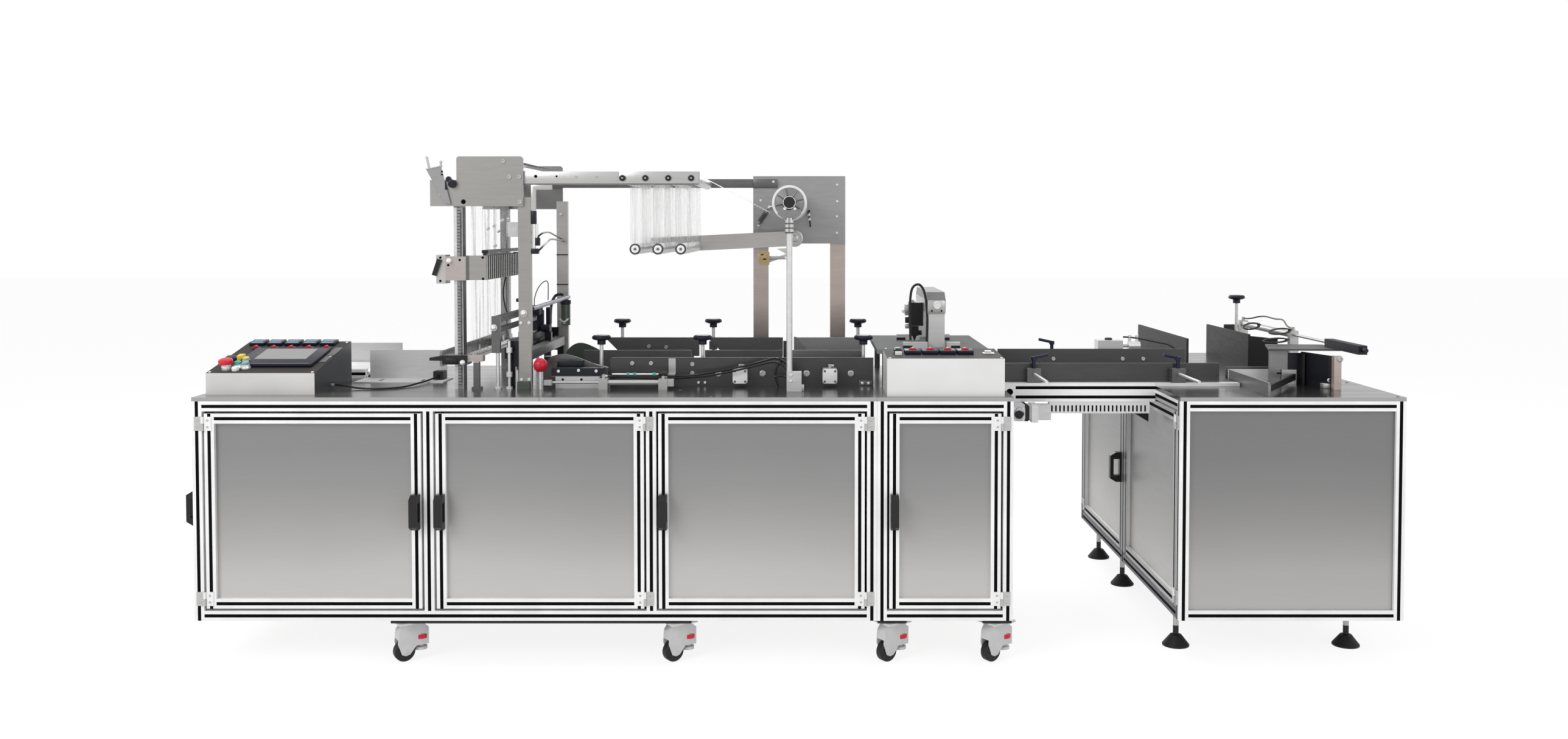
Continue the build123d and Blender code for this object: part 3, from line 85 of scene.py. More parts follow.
setCamera()


class Wire:
    def __init__(self, finish, socket):
        self.finish = finish
        self.socket = socket

    def maths(self, operation, first, second):
        return self.finish.add("ShaderNodeMath", {"operation": operation}, {0: first, 1: second})

    def __add__(self, other):
        return self.maths("ADD", self, other)

    def __sub__(self, other):
        return self.maths("SUBTRACT", self, other)

    def __rsub__(self, other):
        return self.maths("SUBTRACT", other, self)

    def __mul__(self, other):
        return self.maths("MULTIPLY", self, other)

    def __truediv__(self, other):
        return self.maths("DIVIDE", self, other)

    def __gt__(self, other):
        return self.maths("GREATER_THAN", self, other)

    def __lt__(self, other):
        return self.maths("LESS_THAN", self, other)

    __radd__ = __add__
    __rmul__ = __mul__


def grey(level, warm=0.0):
    return (level * (1 + warm), level, level * (1 - warm), 1.0)


class Nodes:
    def __init__(self, tree):
        self.tree = tree

    def feed(self, node, values):
        for key, value in values.items():
            if isinstance(value, Wire):
                self.tree.links.new(value.socket, node.inputs[key])
            else:
                node.inputs[key].default_value = value

    def add(self, kind, settings=None, values=None, out=0):
        node = self.tree.nodes.new(kind)
        for key, value in (settings or {}).items():
            if key == "stops":
                stops = node.color_ramp.elements
                for number, (place, colour) in enumerate(value):
                    stop = stops[number] if number < 2 else stops.new(place)
                    stop.position = place
                    stop.color = colour
            else:
                setattr(node, key, value)
        self.feed(node, values or {})
        return Wire(self, node.outputs[out])


class Finish(Nodes):
    def __init__(self, name, **sockets):
        self.material = bpy.data.materials.new(name)
        self.material.use_nodes = True
        super().__init__(self.material.node_tree)
        self.shader = self.tree.nodes["Principled BSDF"]
        self.surface(**sockets)

    def surface(self, **sockets):
        self.feed(self.shader, {key.replace("_", " "): value for key, value in sockets.items()})

    def place(self, axis):
        coordinates = self.add("ShaderNodeTexCoord", out=3)
        return self.add("ShaderNodeSeparateXYZ", {}, {0: coordinates}, out=axis)

    def facing(self, axis):
        normal = self.add("ShaderNodeTexCoord", out=1)
        return self.add("ShaderNodeSeparateXYZ", {}, {0: normal}, out=axis)

    def noise(self, scale, stretch=(1, 1, 1), detail=3.0):
        coordinates = self.add("ShaderNodeTexCoord", out=3)
        mapped = self.add("ShaderNodeMapping", {}, {0: coordinates, 3: stretch})
        return self.add("ShaderNodeTexNoise", {}, {"Vector": mapped, "Scale": scale, "Detail": detail})

    def ramp(self, factor, *stops):
        return self.add("ShaderNodeValToRGB", {"stops": stops}, {0: factor})

    def mix(self, factor, first, second):
        return self.add("ShaderNodeMix", {"data_type": "RGBA"}, {0: factor, 6: first, 7: second}, out=2)

    def bump(self, height, distance, strength=0.35):
        values = {"Strength": strength, "Distance": distance / 1000, "Height": height}
        self.surface(Normal=self.add("ShaderNodeBump", {}, values))

    def within(self, low, high):
        # 1 inside a box of machine millimetres, and 0 outside it
        mask = None
        for axis, (start, end) in enumerate(zip(spot(*low), spot(*high))):
            along = self.place(axis)
            part = (along > start) * (along < end)
            mask = part if mask is None else mask * part
        return mask


# what a worked or painted surface is: base colour, metallic, roughness
tones = {
    "bright": (grey(0.82), 0.5, 0.27), "silver": (grey(0.56, 0.01), 0.6, 0.3),
    "satin": (grey(0.7), 0.4, 0.36), "warm": (grey(0.37, 0.035), 0.6, 0.32),
    "arm": (grey(0.6, 0.03), 0.4, 0.36),
    "pink": ((0.5, 0.44, 0.42, 1), 0.5, 0.36), "pale": (grey(0.88), 0.0, 0.4), "mid": (grey(0.29), 0.6, 0.32),
    "low": (grey(0.16), 0.6, 0.32), "slab": (grey(0.39), 0.5, 0.34), "guide": (grey(0.115), 0.3, 0.36),
    "slate": (grey(0.026), 0.15, 0.5), "raised": ((0.115, 0.122, 0.118, 1), 0.05, 0.55),
    "light": (grey(0.97), 0.0, 0.4), "dark": (grey(0.08), 0.5, 0.3),
    "deep": ((0.016, 0.017, 0.024, 1), 0.2, 0.36), "black": (grey(0.012), 0.0, 0.38),
    "navy": ((0.012, 0.014, 0.045, 1), 0.0, 0.34), "red": ((0.66, 0.018, 0.045, 1), 0.0, 0.28),
    "brass": ((0.42, 0.32, 0.17, 1), 0.85, 0.33), "green": ((0.11, 0.13, 0.11, 1), 0.5, 0.3),
    "violet": ((0.15, 0.15, 0.21, 1), 0.6, 0.3), "panel": (grey(0.34), 0.55, 0.36),
    "post": ((0.6, 0.51, 0.47, 1), 0.5, 0.36),
}


def worked(name, base, zones=(), scale=16.0, stretch=(1, 1, 7), wear=0.35, relief=0.06, fade=None):
    # a surface with drawn grain, each zone of it in its own tone, and darker to the foot of the fade box
    finish = Finish(name, Specular_IOR_Level=0.3)
    colour, metallic, roughness = tones[base]
    for tone, low, high in zones:
        other, otherMetallic, otherRoughness = tones[tone]
        mask = finish.within(low, high)
        colour = finish.mix(mask, colour, other)
        metallic = mask * (otherMetallic - metallic) + metallic
        roughness = mask * (otherRoughness - roughness) + roughness
    grain = finish.noise(scale, stretch, 4.0)
    cloud = finish.noise(3.2, (1, 1, 1.6), 2.0)
    shade = finish.mix(grain * wear * 0.6 + cloud * wear * 0.5, colour, grey(0.0))
    if fade:
        low, high = spot(*fade[0]).z, spot(*fade[1]).z
        sink = finish.ramp((finish.place(2) - low) / (high - low), (0.0, grey(0.9)), (1.0, grey(0.0)))
        shade = finish.mix(sink * finish.within(*fade), shade, grey(0.012, 0.1))
    upward = finish.facing(2) > 0.6
    finish.surface(Base_Color=shade, Metallic=(1 - upward * 0.8) * metallic)
    finish.surface(Roughness=grain * 0.14 + upward * 0.2 + roughness - 0.07)
    if relief:
        finish.bump(grain, relief)
    return finish


def slottedFinish():
    finish = Finish("slottedAluminium", Metallic=0.25)
    drawn = finish.noise(11.0, (1, 1, 1), 2.0)
    colour = finish.ramp(drawn, (0.3, grey(0.80)), (0.75, grey(0.90)))
    # painted shade: the bars' faces on the infeed cabinet's left side are drawn darker grey, and dark blue at
    # their foot
    colour = finish.mix(finish.within((2969, 22, 150), (2972, 1395, 790)), colour, grey(0.42))
    colour = finish.mix(finish.within((2969, 22, 120), (2972, 1395, 172)), colour, (0.035, 0.038, 0.06, 1))
    finish.surface(Base_Color=colour)
    finish.surface(Roughness=drawn * 0.12 + 0.3)
    return finish


def tableFinish():
    # brushed plates: mid grey at the left, darker along the track, with the brushing along x
    finish = Finish("brushedTable", Metallic=0.8)
    streak = finish.noise(4.0, (0.5, 9, 1), 4.0)
    cloud = finish.noise(1.4, (1, 1.6, 1), 2.0)
    across = (finish.place(0) + 1.8) / 1.3
    stops = ((0.0, grey(0.17)), (0.25, grey(0.12)), (0.5, grey(0.175)), (1.0, grey(0.16)))
    tone = finish.ramp(across + (cloud - 0.5) * 0.4, *stops)
    tone = finish.mix(finish.within((2900, -20, 700), (3700, 1500, 900)) * 0.62, tone, grey(0.0))
    shade = finish.mix(finish.facing(1) < -0.5, finish.mix(streak * 0.42, tone, grey(0.02)), grey(0.38, 0.01))
    finish.surface(Base_Color=shade, Roughness=streak * 0.16 + 0.13)
    finish.bump(streak, 0.05)
    return finish


def panelFinish():
    # stainless sheet with a painted reflection of the pale ground: bright and warm low down, grey above
    finish = Finish("stainlessPanel", Metallic=0.45)
    cloud = finish.noise(1.3, (1, 1, 0.7), 2.0)
    # painted reflection: the colour ramps from bright and warm low down to grey above
    rise = (finish.place(2) - 0.16) / 0.61 + (cloud - 0.5) * 0.16
    stops = (
        (0.0, grey(0.55, 0.025)), (0.2, grey(0.5, 0.025)), (0.36, grey(0.405, 0.02)),
        (0.5, grey(0.335, 0.015)), (0.62, grey(0.29, 0.005)), (0.8, grey(0.25)), (1.0, grey(0.238)),
    )
    infeed = finish.within((2990, -10, 0), (3640, 60, 900))
    shade = finish.mix(infeed * 0.2, finish.ramp(rise, *stops), grey(0.0))
    grain = finish.noise(70.0, (0.15, 0.15, 7), 3.0)
    finish.surface(Base_Color=finish.mix(grain * 0.09, shade, grey(0.0)), Roughness=grain * 0.14 + 0.3)
    finish.bump(grain, 0.03)
    return finish


def boxFinish():
    # folded box steel: pale front, with painted shade on the right side and a painted dark reflection on the lid
    finish = Finish("foldedBoxSteel", Specular_IOR_Level=0.15)
    cloud = finish.noise(5.0, (1, 1, 1.4), 3.0)
    station = finish.place(0) > 0.2
    front = finish.ramp(cloud, (0.3, grey(0.57, 0.015)), (0.7, grey(0.66, 0.02)))
    front = finish.mix(station, front, finish.ramp(cloud, (0.3, grey(0.70, 0.01)), (0.7, grey(0.76))))
    # painted shade on faces turned to +x, and a painted dark reflection on upward faces
    side = finish.facing(0) > 0.5
    lid = finish.facing(2) > 0.5
    colour = finish.mix(side, front, (0.045, 0.05, 0.055, 1))
    colour = finish.mix(lid, colour, (0.045, 0.04, 0.038, 1))
    finish.surface(Base_Color=colour, Metallic=(1 - lid) * 0.35, Roughness=cloud * 0.12 + 0.28 + lid * 0.3)
    return finish


def filmFinish():
    # clear film: white where it runs over the rollers, and creased down its length at the tower
    finish = Finish("clearFilm", Roughness=0.34, Specular_IOR_Level=0.3, Transmission_Weight=0.92, IOR=1.04)
    crease = finish.noise(22.0, (1, 1.1, 0.05), 1.0)
    lines = finish.ramp(crease, (0.44, grey(0.0)), (0.5, grey(1.0)), (0.56, grey(0.0)))
    curtain = finish.within((600, 150, 800), (1248, 900, 1560))
    leading = finish.within((1512, 150, 1370), (1850, 900, 1560))
    finish.surface(Base_Color=finish.mix(curtain, grey(0.98), grey(0.34)))
    hanging, elsewhere = curtain * (lines * 0.42 + 0.04), (1 - curtain) * (lines * 0.3 + 0.25)
    finish.surface(Alpha=hanging + elsewhere + leading * 0.5)
    return finish


def makeFinishes():
    made = {
        "profile": slottedFinish(), "table": tableFinish(), "sheet": panelFinish(), "grey_paint": boxFinish(),
        "film": filmFinish(), "plate": worked("milledAluminium", "warm"),
        "steel": worked("turnedSteel", "silver", wear=0.2), "dark_metal": worked("darkSteel", "dark"),
        "grey_plastic": worked("greyPlastic", "mid", relief=0),
        "bright": worked("polishedFitting", "bright", wear=0.12),
        "silver": worked("machinedSilver", "silver"), "pale": worked("paleCover", "pale", wear=0.1),
        "low": worked("dullSteel", "low"), "dull": worked("dullGuide", "guide"),
        "deepSteel": worked("blackenedSteel", "deep"), "violetSteel": worked("violetSteel", "violet"),
        "brassy": worked("brassTone", "brass"),
    }
    plastics = {
        "black_metal": ("blackSteel", grey(0.018), 0.4), "white_paint": ("casterPaint", grey(0.68), 0.42),
        "black_plastic": ("blackPlastic", grey(0.013), 0.36),
        "black_rubber": ("blackRubber", grey(0.014), 0.55), "belt": ("beltRubber", grey(0.05), 0.5),
        "film_roll": ("rolledFilm", grey(0.78), 0.24), "red": ("redPlastic", (0.68, 0.02, 0.04, 1), 0.3),
        "yellow": ("yellowPlastic", (0.82, 0.62, 0.06, 1), 0.36),
        "cream": ("creamPlastic", (0.62, 0.62, 0.28, 1), 0.34),
        "teal": ("tealPlastic", (0.06, 0.4, 0.36, 1), 0.3),
        "blue": ("blueGreyPlastic", (0.26, 0.42, 0.52, 1), 0.3), "display": ("greyDisplay", grey(0.26), 0.16),
        "bezel": ("blackBezel", (0.006, 0.006, 0.02, 1), 0.4), "white": ("whitePlastic", grey(0.84), 0.32),
        # the near-black at the end of the next line is painted shade in slots, holes and the gaps round doors,
        # and also the printed marks on the rulers
        "glass": ("blueWindow", (0.1, 0.16, 0.28, 1), 0.14), "seam": ("paintedShadeAndPrint", grey(0.004), 0.8),
        "hose": ("hoseRubber", grey(0.016), 0.24),
    }
    for key, (name, colour, roughness) in plastics.items():
        finish = Finish(name, Specular_IOR_Level=0.05 if key == "seam" else 0.3)
        mottle = finish.noise(38.0, (1, 1, 1), 2.0)
        shade = finish.mix(mottle * 0.16, colour, grey(0.0))
        finish.surface(Base_Color=shade, Roughness=mottle * 0.12 + (roughness - 0.06))
        made[key] = finish
    return made


finishes = makeFinishes()

# CAD pieces of more than one tone: the base tone, then each zone's tone and its box
zonedNodes = {
    "hand_knobs": ("black", (
        ("red", (980, 170, 866), (1036, 230, 916)), ("navy", (2530, 260, 860), (3100, 670, 960)),
    )),
    "tower_columns": ("warm", (
        ("satin", (736, 190, 800), (770, 232, 1500)), ("mid", (747.5, 198, 800), (764.5, 206, 1500)),
        # painted shade: the black stripe down the front ruler column's right edge, and the darker band at its
        # top
        ("deep", (765.8, 198, 800), (768.6, 232, 1500)), ("mid", (736, 198, 1385), (770, 232, 1460)),
        ("mid", (736, 805, 800), (770, 842, 1500)),
        ("arm", (934, 812, 800), (982, 842, 1500)), ("green", (934, 190, 811), (977, 230, 836.5)),
    )),
    "head_plates": ("warm", (
        ("panel", (600, 183, 1380), (736, 191.8, 1520)), ("deep", (716, 180, 1440), (754, 191.6, 1490)),
        ("mid", (600, 836, 1300), (1000, 860, 1560)),
    )),
    "roller_bars": ("bright", (
        ("mid", (890, 800, 1300), (1760, 850, 1560)), ("silver", (1250, 190, 1440), (1515, 201, 1520)),
    )),
    "clamp_blocks": ("low", (
        ("pink", (690, 180, 1140), (779, 246, 1240)), ("silver", (680, 186, 1140), (714, 246, 1240)),
        ("low", (778, 180, 1150), (789, 201, 1240)), ("warm", (789, 180, 1150), (842, 201, 1240)),
        ("black", (660, 178, 1150), (706, 188, 1230)),
        ("black", (660, 172, 885), (782, 184, 930)), ("pink", (782, 180, 897), (832, 216, 924)),
        ("low", (2540, 270, 820), (3080, 311, 870)), ("bright", (2570, 60, 840), (3060, 278.9, 862)),
    )),
    "seal_unit": ("deep", (
        ("low", (850, 200, 924), (882, 220, 1044)), ("bright", (855, 195, 811), (886, 820, 925.5)),
        ("bright", (893, 198, 811), (921, 211, 966)), ("green", (822, 204, 1156), (842, 838, 1236)),
        ("silver", (828, 190, 1156), (842, 204, 1236)), ("mid", (690, 180, 880), (703, 860, 940)),
        ("low", (936, 200, 895), (974, 850, 932)),
    )),
    "unwind_stand": ("slab", (
        ("post", (1640, 847.5, 811), (2000, 880, 1264)), ("brass", (1700, 145, 1205), (1733, 175, 1248)),
        ("bright", (1780, 148, 811), (1808, 173, 1353)), ("mid", (1750, 150, 1345), (1840, 170, 1420)),
        ("satin", (1784, 140, 811), (1840, 178, 873)),
    )),
    "dancer_arm": ("arm", (("satin", (1280, 200, 1230), (1480, 785.5, 1290)),)),
    "guide_plates": ("guide", (
        ("dark", (1080, 270, 811), (2060, 300, 905)), ("dark", (2480, 300, 811), (3200, 320, 905)),
        ("panel", (1799, 765, 861), (2046, 786, 930)), ("green", (990, 690, 811), (1170, 712, 930)),
        ("low", (990, 280, 811), (1210, 296, 930)),
    )),
    "air_cylinders": ("silver", (
        ("deep", (1030, 218, 850.5), (1206, 262, 880)), ("satin", (1030, 218, 811), (1206, 262, 850.5)),
        ("deep", (950, 760, 960), (1000, 830, 1062)), ("deep", (3540, 90, 925), (3600, 388.5, 960)),
        ("silver", (3556, 715, 930), (3584, 1215, 957)), ("silver", (3560, 388, 930), (3580, 690, 957)),
        ("green", (958, 770, 968), (992, 800, 1044)),
    )),
    "adjuster_rods": ("bright", ()),
    "station_plate": ("raised", (("mid", (2070, 335, 905), (2450, 342, 926)),)),
    "station_arch": ("satin", (
        ("low", (2240, 380, 1081.6), (2320, 870, 1112)), ("dark", (2240, 380, 1080), (2320, 870, 1081.6)),
        ("satin", (2160, 365, 920), (2360, 715, 950)), ("deep", (2160, 365, 920), (2196, 715, 934)),
        ("deep", (2322, 365, 920), (2360, 715, 934)),
    )),
    "sensor_heads": ("black", (
        ("silver", (2206, 560, 983), (2250, 640, 1070)), ("mid", (2184, 560, 1000), (2200, 620, 1070)),
    )),
    "gear_motor": ("satin", (
        ("deep", (2537, 190, 690), (2552, 290, 775)), ("bright", (2559, 200, 700), (2581, 280, 765)),
        ("bright", (2860, 660, 870), (2960, 720, 930)), ("bright", (2981, 670, 885), (3030, 715, 925)),
    )),
    "cable_duct": ("light", (("deep", (2890, 278, 690), (2960, 302, 723.5)),)),
    "infeed_channel": ("slate", (
        ("mid", (3244, 30, 811), (3254, 404, 853)), ("pale", (3244, 403, 811), (3400, 412, 853)),
        ("silver", (3398, 342, 811), (3450, 350, 860)), ("deep", (3421, 345, 811), (3468, 360, 922)),
        ("mid", (3355, 345, 811), (3421, 360, 922)), ("deep", (3466, 220, 811), (3512, 362, 922)),
        ("post", (3505, 180, 811), (3534, 207, 920)), ("guide", (3340, 300, 919), (3600, 510, 930)),
        ("low", (3240, 432, 811), (3420, 442, 860)),
    )),
    "outfeed_guides": ("satin", ()),
    "levelling_feet": ("black", (("silver", (2960, 0, 64), (3700, 1400, 136)),)),
}
fadedNodes = {"unwind_stand": ((1640, 847.5, 830), (2000, 880, 1060))}


def dressCad():
    slotOf = {part["node"]: part["material_slot"] for part in frame["record"]["subparts"]}
    for node, shape in frame["nodes"].items():
        finish = finishes[slotOf[node]]
        if node in zonedNodes:
            base, zones = zonedNodes[node]
            finish = worked(node + "Finish", base, zones, fade=fadedNodes.get(node))
        shape.data.materials.clear()
        shape.data.materials.append(finish.material)


dressCad()
print("finishes on the CAD pieces")


def roundEdges(piece, width, segments=2, angle=40):
    edge = piece.modifiers.new("edge", "BEVEL")
    edge.width = width / 1000
    edge.segments = segments
    edge.limit_method = "ANGLE"
    edge.angle_limit = math.radians(angle)
    deselect()
    bpy.context.view_layer.objects.active = piece
    piece.select_set(True)
    bpy.ops.object.modifier_apply(modifier="edge")


def newBlocks(name, boxes, rounding=0.0):
    # one mesh of boxes, each from its low corner to its high corner
    deselect()
    bpy.ops.mesh.primitive_cube_add(size=1, location=(0, 0, 0))
    piece = bpy.context.object
    piece.name = name
    bpy.ops.object.mode_set(mode="EDIT")
    bpy.ops.mesh.select_all(action="SELECT")
    bpy.ops.mesh.delete(type="VERT")
    for low, high in boxes:
        start, end = spot(*low), spot(*high)
        bpy.ops.mesh.primitive_cube_add(size=1, location=(start + end) / 2, scale=end - start)
    bpy.ops.object.mode_set(mode="OBJECT")
    if rounding:
        roundEdges(piece, rounding)
    return piece


def closeUp(piece, rounding):
    bpy.ops.mesh.select_all(action="SELECT")
    bpy.ops.mesh.normals_make_consistent(inside=False)
    bpy.ops.object.mode_set(mode="OBJECT")
    if rounding:
        roundEdges(piece, rounding)
    return piece


def newTurned(name, steps, sides, rounding=0.0):
    # radius and height pairs, turned about Z at the origin, in millimetres
    deselect()
    radius, height = steps[0]
    bpy.ops.mesh.primitive_circle_add(
        vertices=sides, radius=radius / 1000, fill_type="NGON", location=(0, 0, height / 1000)
    )
    piece = bpy.context.object
    piece.name = name
    bpy.ops.object.transform_apply(location=True)
    bpy.ops.object.mode_set(mode="EDIT")
    bpy.ops.mesh.select_all(action="SELECT")
    for nextRadius, nextHeight in steps[1:]:
        rise = (nextHeight - height) / 1000
        bpy.ops.mesh.extrude_region_move(TRANSFORM_OT_translate={"value": (0, 0, rise)})
        growth = nextRadius / radius
        bpy.ops.transform.resize(value=(growth, growth, 1), center_override=(0, 0, nextHeight / 1000))
        radius, height = nextRadius, nextHeight
    return closeUp(piece, rounding)


def newPlate(name, outline, start, end, rounding=0.0):
    # an outline of x, z pairs, drawn out along y
    deselect()
    bpy.ops.mesh.primitive_circle_add(vertices=len(outline), radius=1, fill_type="NGON", location=(0, 0, 0))
    piece = bpy.context.object
    piece.name = name
    for vertex, (x, z) in zip(piece.data.vertices, outline):
        vertex.co = spot(x, start, z)
    bpy.ops.object.mode_set(mode="EDIT")
    bpy.ops.mesh.select_all(action="SELECT")
    step = spot(0, end, 0) - spot(0, start, 0)
    bpy.ops.mesh.extrude_region_move(TRANSFORM_OT_translate={"value": step})
    return closeUp(piece, rounding)


def newWire(name, points, radius, sides=3):
    # a bent wire or tube on a smooth line through its control points
    curve = bpy.data.curves.new(name, "CURVE")
    curve.dimensions = "3D"
    line = curve.splines.new("NURBS")
    line.points.add(len(points) - 1)
    for point, place in zip(line.points, points):
        point.co = (*spot(*place), 1)
    line.order_u = 3
    line.use_endpoint_u = True
    curve.bevel_depth = radius / 1000
    curve.bevel_resolution = sides
    curve.resolution_u = 8
    curve.use_fill_caps = True
    wire = bpy.data.objects.new(name, curve)
    bpy.context.collection.objects.link(wire)
    return wire


def meshed(wire):
    deselect()
    wire.select_set(True)
    bpy.context.view_layer.objects.active = wire
    bpy.ops.object.convert(target="MESH")
    return bpy.context.object


def copyAt(source, name, place):
    twin = source.copy()
    twin.data = source.data.copy()
    twin.name = name
    bpy.context.collection.objects.link(twin)
    twin.data.transform(place)
    return twin


def joined(name, parts):
    deselect()
    for part in parts:
        part.select_set(True)
    bpy.context.view_layer.objects.active = parts[0]
    if len(parts) > 1:
        bpy.ops.object.join()
    parts[0].name = name
    return parts[0]


def fit(piece, finish, body="machine", smooth=35):
    piece.data.materials.clear()
    piece.data.materials.append(finishes[finish].material)
    if smooth and piece.type == "MESH":
        deselect()
        piece.select_set(True)
        bpy.context.view_layer.objects.active = piece
        bpy.ops.object.shade_smooth_by_angle(angle=math.radians(smooth))
    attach(piece, body)
    return piece


turns = {
    "+z": Matrix.Identity(4),
    "-y": Matrix.Rotation(math.pi / 2, 4, "X"),
    "+x": Matrix.Rotation(math.pi / 2, 4, "Y"),
    "-x": Matrix.Rotation(-math.pi / 2, 4, "Y"),
}


def spread(name, source, places):
    # copies of a piece made at the origin, each at x, y, z with its +Z turned to face a way
    copies = []
    for number, (x, y, z, way) in enumerate(places):
        copies.append(copyAt(source, name + str(number), Matrix.Translation(spot(x, y, z)) @ turns[way]))
    bpy.data.objects.remove(source)
    return joined(name, copies)


def addTurned(name, finish, steps, sides, places, body="machine", rounding=0.0):
    # one turned shape at many places: x, y, z and way, or the y of each front face with its x, z pairs
    if isinstance(places, dict):
        places = [(x, y, z, "-y") for y, pairs in places.items() for x, z in pairs]
    source = newTurned(name + "Source", steps, sides, rounding)
    return fit(spread(name, source, places), finish, body)


def addBlocks(name, finish, boxes, rounding=0.0, body="machine", smooth=35):
    return fit(newBlocks(name, boxes, rounding), finish, body, smooth)


def addPlate(name, finish, outline, start, end, rounding=0.0):
    return fit(newPlate(name, outline, start, end, rounding), finish)


def addRods(name, finish, rods, sides=16, body="machine"):
    # straight round bars: radius, one end, other end
    made = []
    for number, (radius, start, end) in enumerate(rods):
        low, high = spot(*start), spot(*end)
        along = high - low
        bar = newTurned(name + str(number), [(radius, 0), (radius, along.length * 1000)], sides)
        bar.data.transform(Matrix.Translation(low) @ along.to_track_quat("Z", "Y").to_matrix().to_4x4())
        made.append(bar)
    return fit(joined(name, made), finish, body)


def probeCable():
    points = [
        (358.0, 205.0, 826.0), (390.0, 203.0, 823.5), (426.0, 193.0, 816.5), (482.0, 181.0, 815.2),
        (536.0, 197.0, 815.2), (572.0, 240.0, 815.2), (588.0, 292.0, 818.8), (597.0, 346.0, 818.6),
        (610.0, 392.0, 822.0), (617.0, 420.0, 827.0),
    ]
    cable = newWire("probeCable", points, 3.0)
    cable.data.resolution_u = 12
    cable.data.materials.append(finishes["black_rubber"].material)
    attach(cable, "machine")
    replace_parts(cable, "probe_cable")
    tuple(spot(*points[0]))


probeCable()
print("camera and cable")

slotStrip = {"wide": 4.9, "sunk": -0.25, "thick": 1.2}
bridgeBeams = {"from": 2520, "to": 2970.5, "rows": (277, 620), "levels": (762, 792)}
outfeedBed = {"from": 60, "to": 352, "rows": (496, 720), "level": 812}


def strip(way, start, end, corner, face):
    # a black strip along a bar's slot, painted shade that takes in the slot's shaded edges: the bar's low
    # corner, the axis it runs along and the face it is cut in
    middle = machine["bar"] / 2
    low = [place + middle - slotStrip["wide"] for place in corner]
    high = [place + middle + slotStrip["wide"] for place in corner]
    run, look = "xyz".index(way), "xyz".index(face[1])
    low[run], high[run] = start, end
    outer = corner[look] if face[0] == "-" else corner[look] + machine["bar"] - slotStrip["thick"]
    inward = slotStrip["sunk"] if face[0] == "-" else -slotStrip["sunk"]
    low[look], high[look] = outer + inward, outer + inward + slotStrip["thick"]
    high[1] = min(high[1], machine["infeedDepth"] - 0.1)
    return tuple(low), tuple(high)


def slotLines():
    low, high, bar, post = machine["bottom"], machine["top"], machine["bar"], machine["sidePost"]
    rows = []
    cabinets = (
        (0.0, machine["mainEnd"], machine["depth"], machine["midPosts"]),
        (machine["junctionX"], machine["junctionEnd"], machine["depth"], ()),
        (machine["infeedX"], machine["infeedEnd"], machine["infeedDepth"], ()),
    )
    for left, right, depth, between in cabinets:
        ends, sides = ((0, "-y"), (depth - bar, "+y")), ((left, "-x"), (right - bar, "+x"))
        deep = depth == machine["infeedDepth"]
        spans = ((bar, post), (post + bar, depth - bar)) if deep else ((bar, depth - bar),)
        for y, face in ends:
            rows += [strip("z", low, high, (x, y, 0), face) for x, side in sides]
            rows += [strip("z", low + bar, high - bar, (x, y, 0), face) for x in between]
            rows += [strip("x", left + bar, right - bar, (0, y, z), face) for z in (low, high - bar)]
        for x, face in sides:
            rows += [strip("z", low, high, (x, y, 0), face) for y, end in ends]
            rows += [strip("y", y0, y1, (x, 0, z), face) for y0, y1 in spans for z in (low, high - bar)]
            if deep:
                rows.append(strip("z", low, high, (x, post, 0), face))
    beams, bed = bridgeBeams, outfeedBed
    for face in ("-y", "+y"):
        for y in beams["rows"]:
            rows += [strip("x", beams["from"], beams["to"], (0, y, z), face) for z in beams["levels"]]
        rows += [strip("x", bed["from"], bed["to"], (0, y, bed["level"]), face) for y in bed["rows"]]
    addBlocks("slotLines", "seam", rows, smooth=0)


# each door: the axis it runs along, its ring's low face, its two ends, and the end that its hinges are at
doors = {
    "front_door_1": {"way": "x", "at": 0.0, "from": 37.0, "to": 688.0, "hinge": "from"},
    "front_door_2": {"way": "x", "at": 0.0, "from": 732.0, "to": 1358.0, "hinge": "to"},
    "front_door_3": {"way": "x", "at": 0.0, "from": 1402.0, "to": 2023.0, "hinge": "to"},
    "junction_door": {"way": "x", "at": 0.0, "from": 2097.5, "to": 2433.5, "hinge": "to"},
    "end_door": {"way": "y", "at": 0.0, "from": 37.0, "to": 863.0, "hinge": "to"},
    "infeed_door": {"way": "y", "at": 2970.5, "from": 717.0, "to": 1353.0, "hinge": "to"},
    "shut_near": {"way": "y", "at": 2970.5, "from": 37.0, "to": 673.0, "hinge": "from"},
    "shut_far_front": {"way": "y", "at": 3620.5, "from": 37.0, "to": 673.0, "hinge": "from"},
    "shut_far_rear": {"way": "y", "at": 3620.5, "from": 717.0, "to": 1353.0, "hinge": "to"},
}


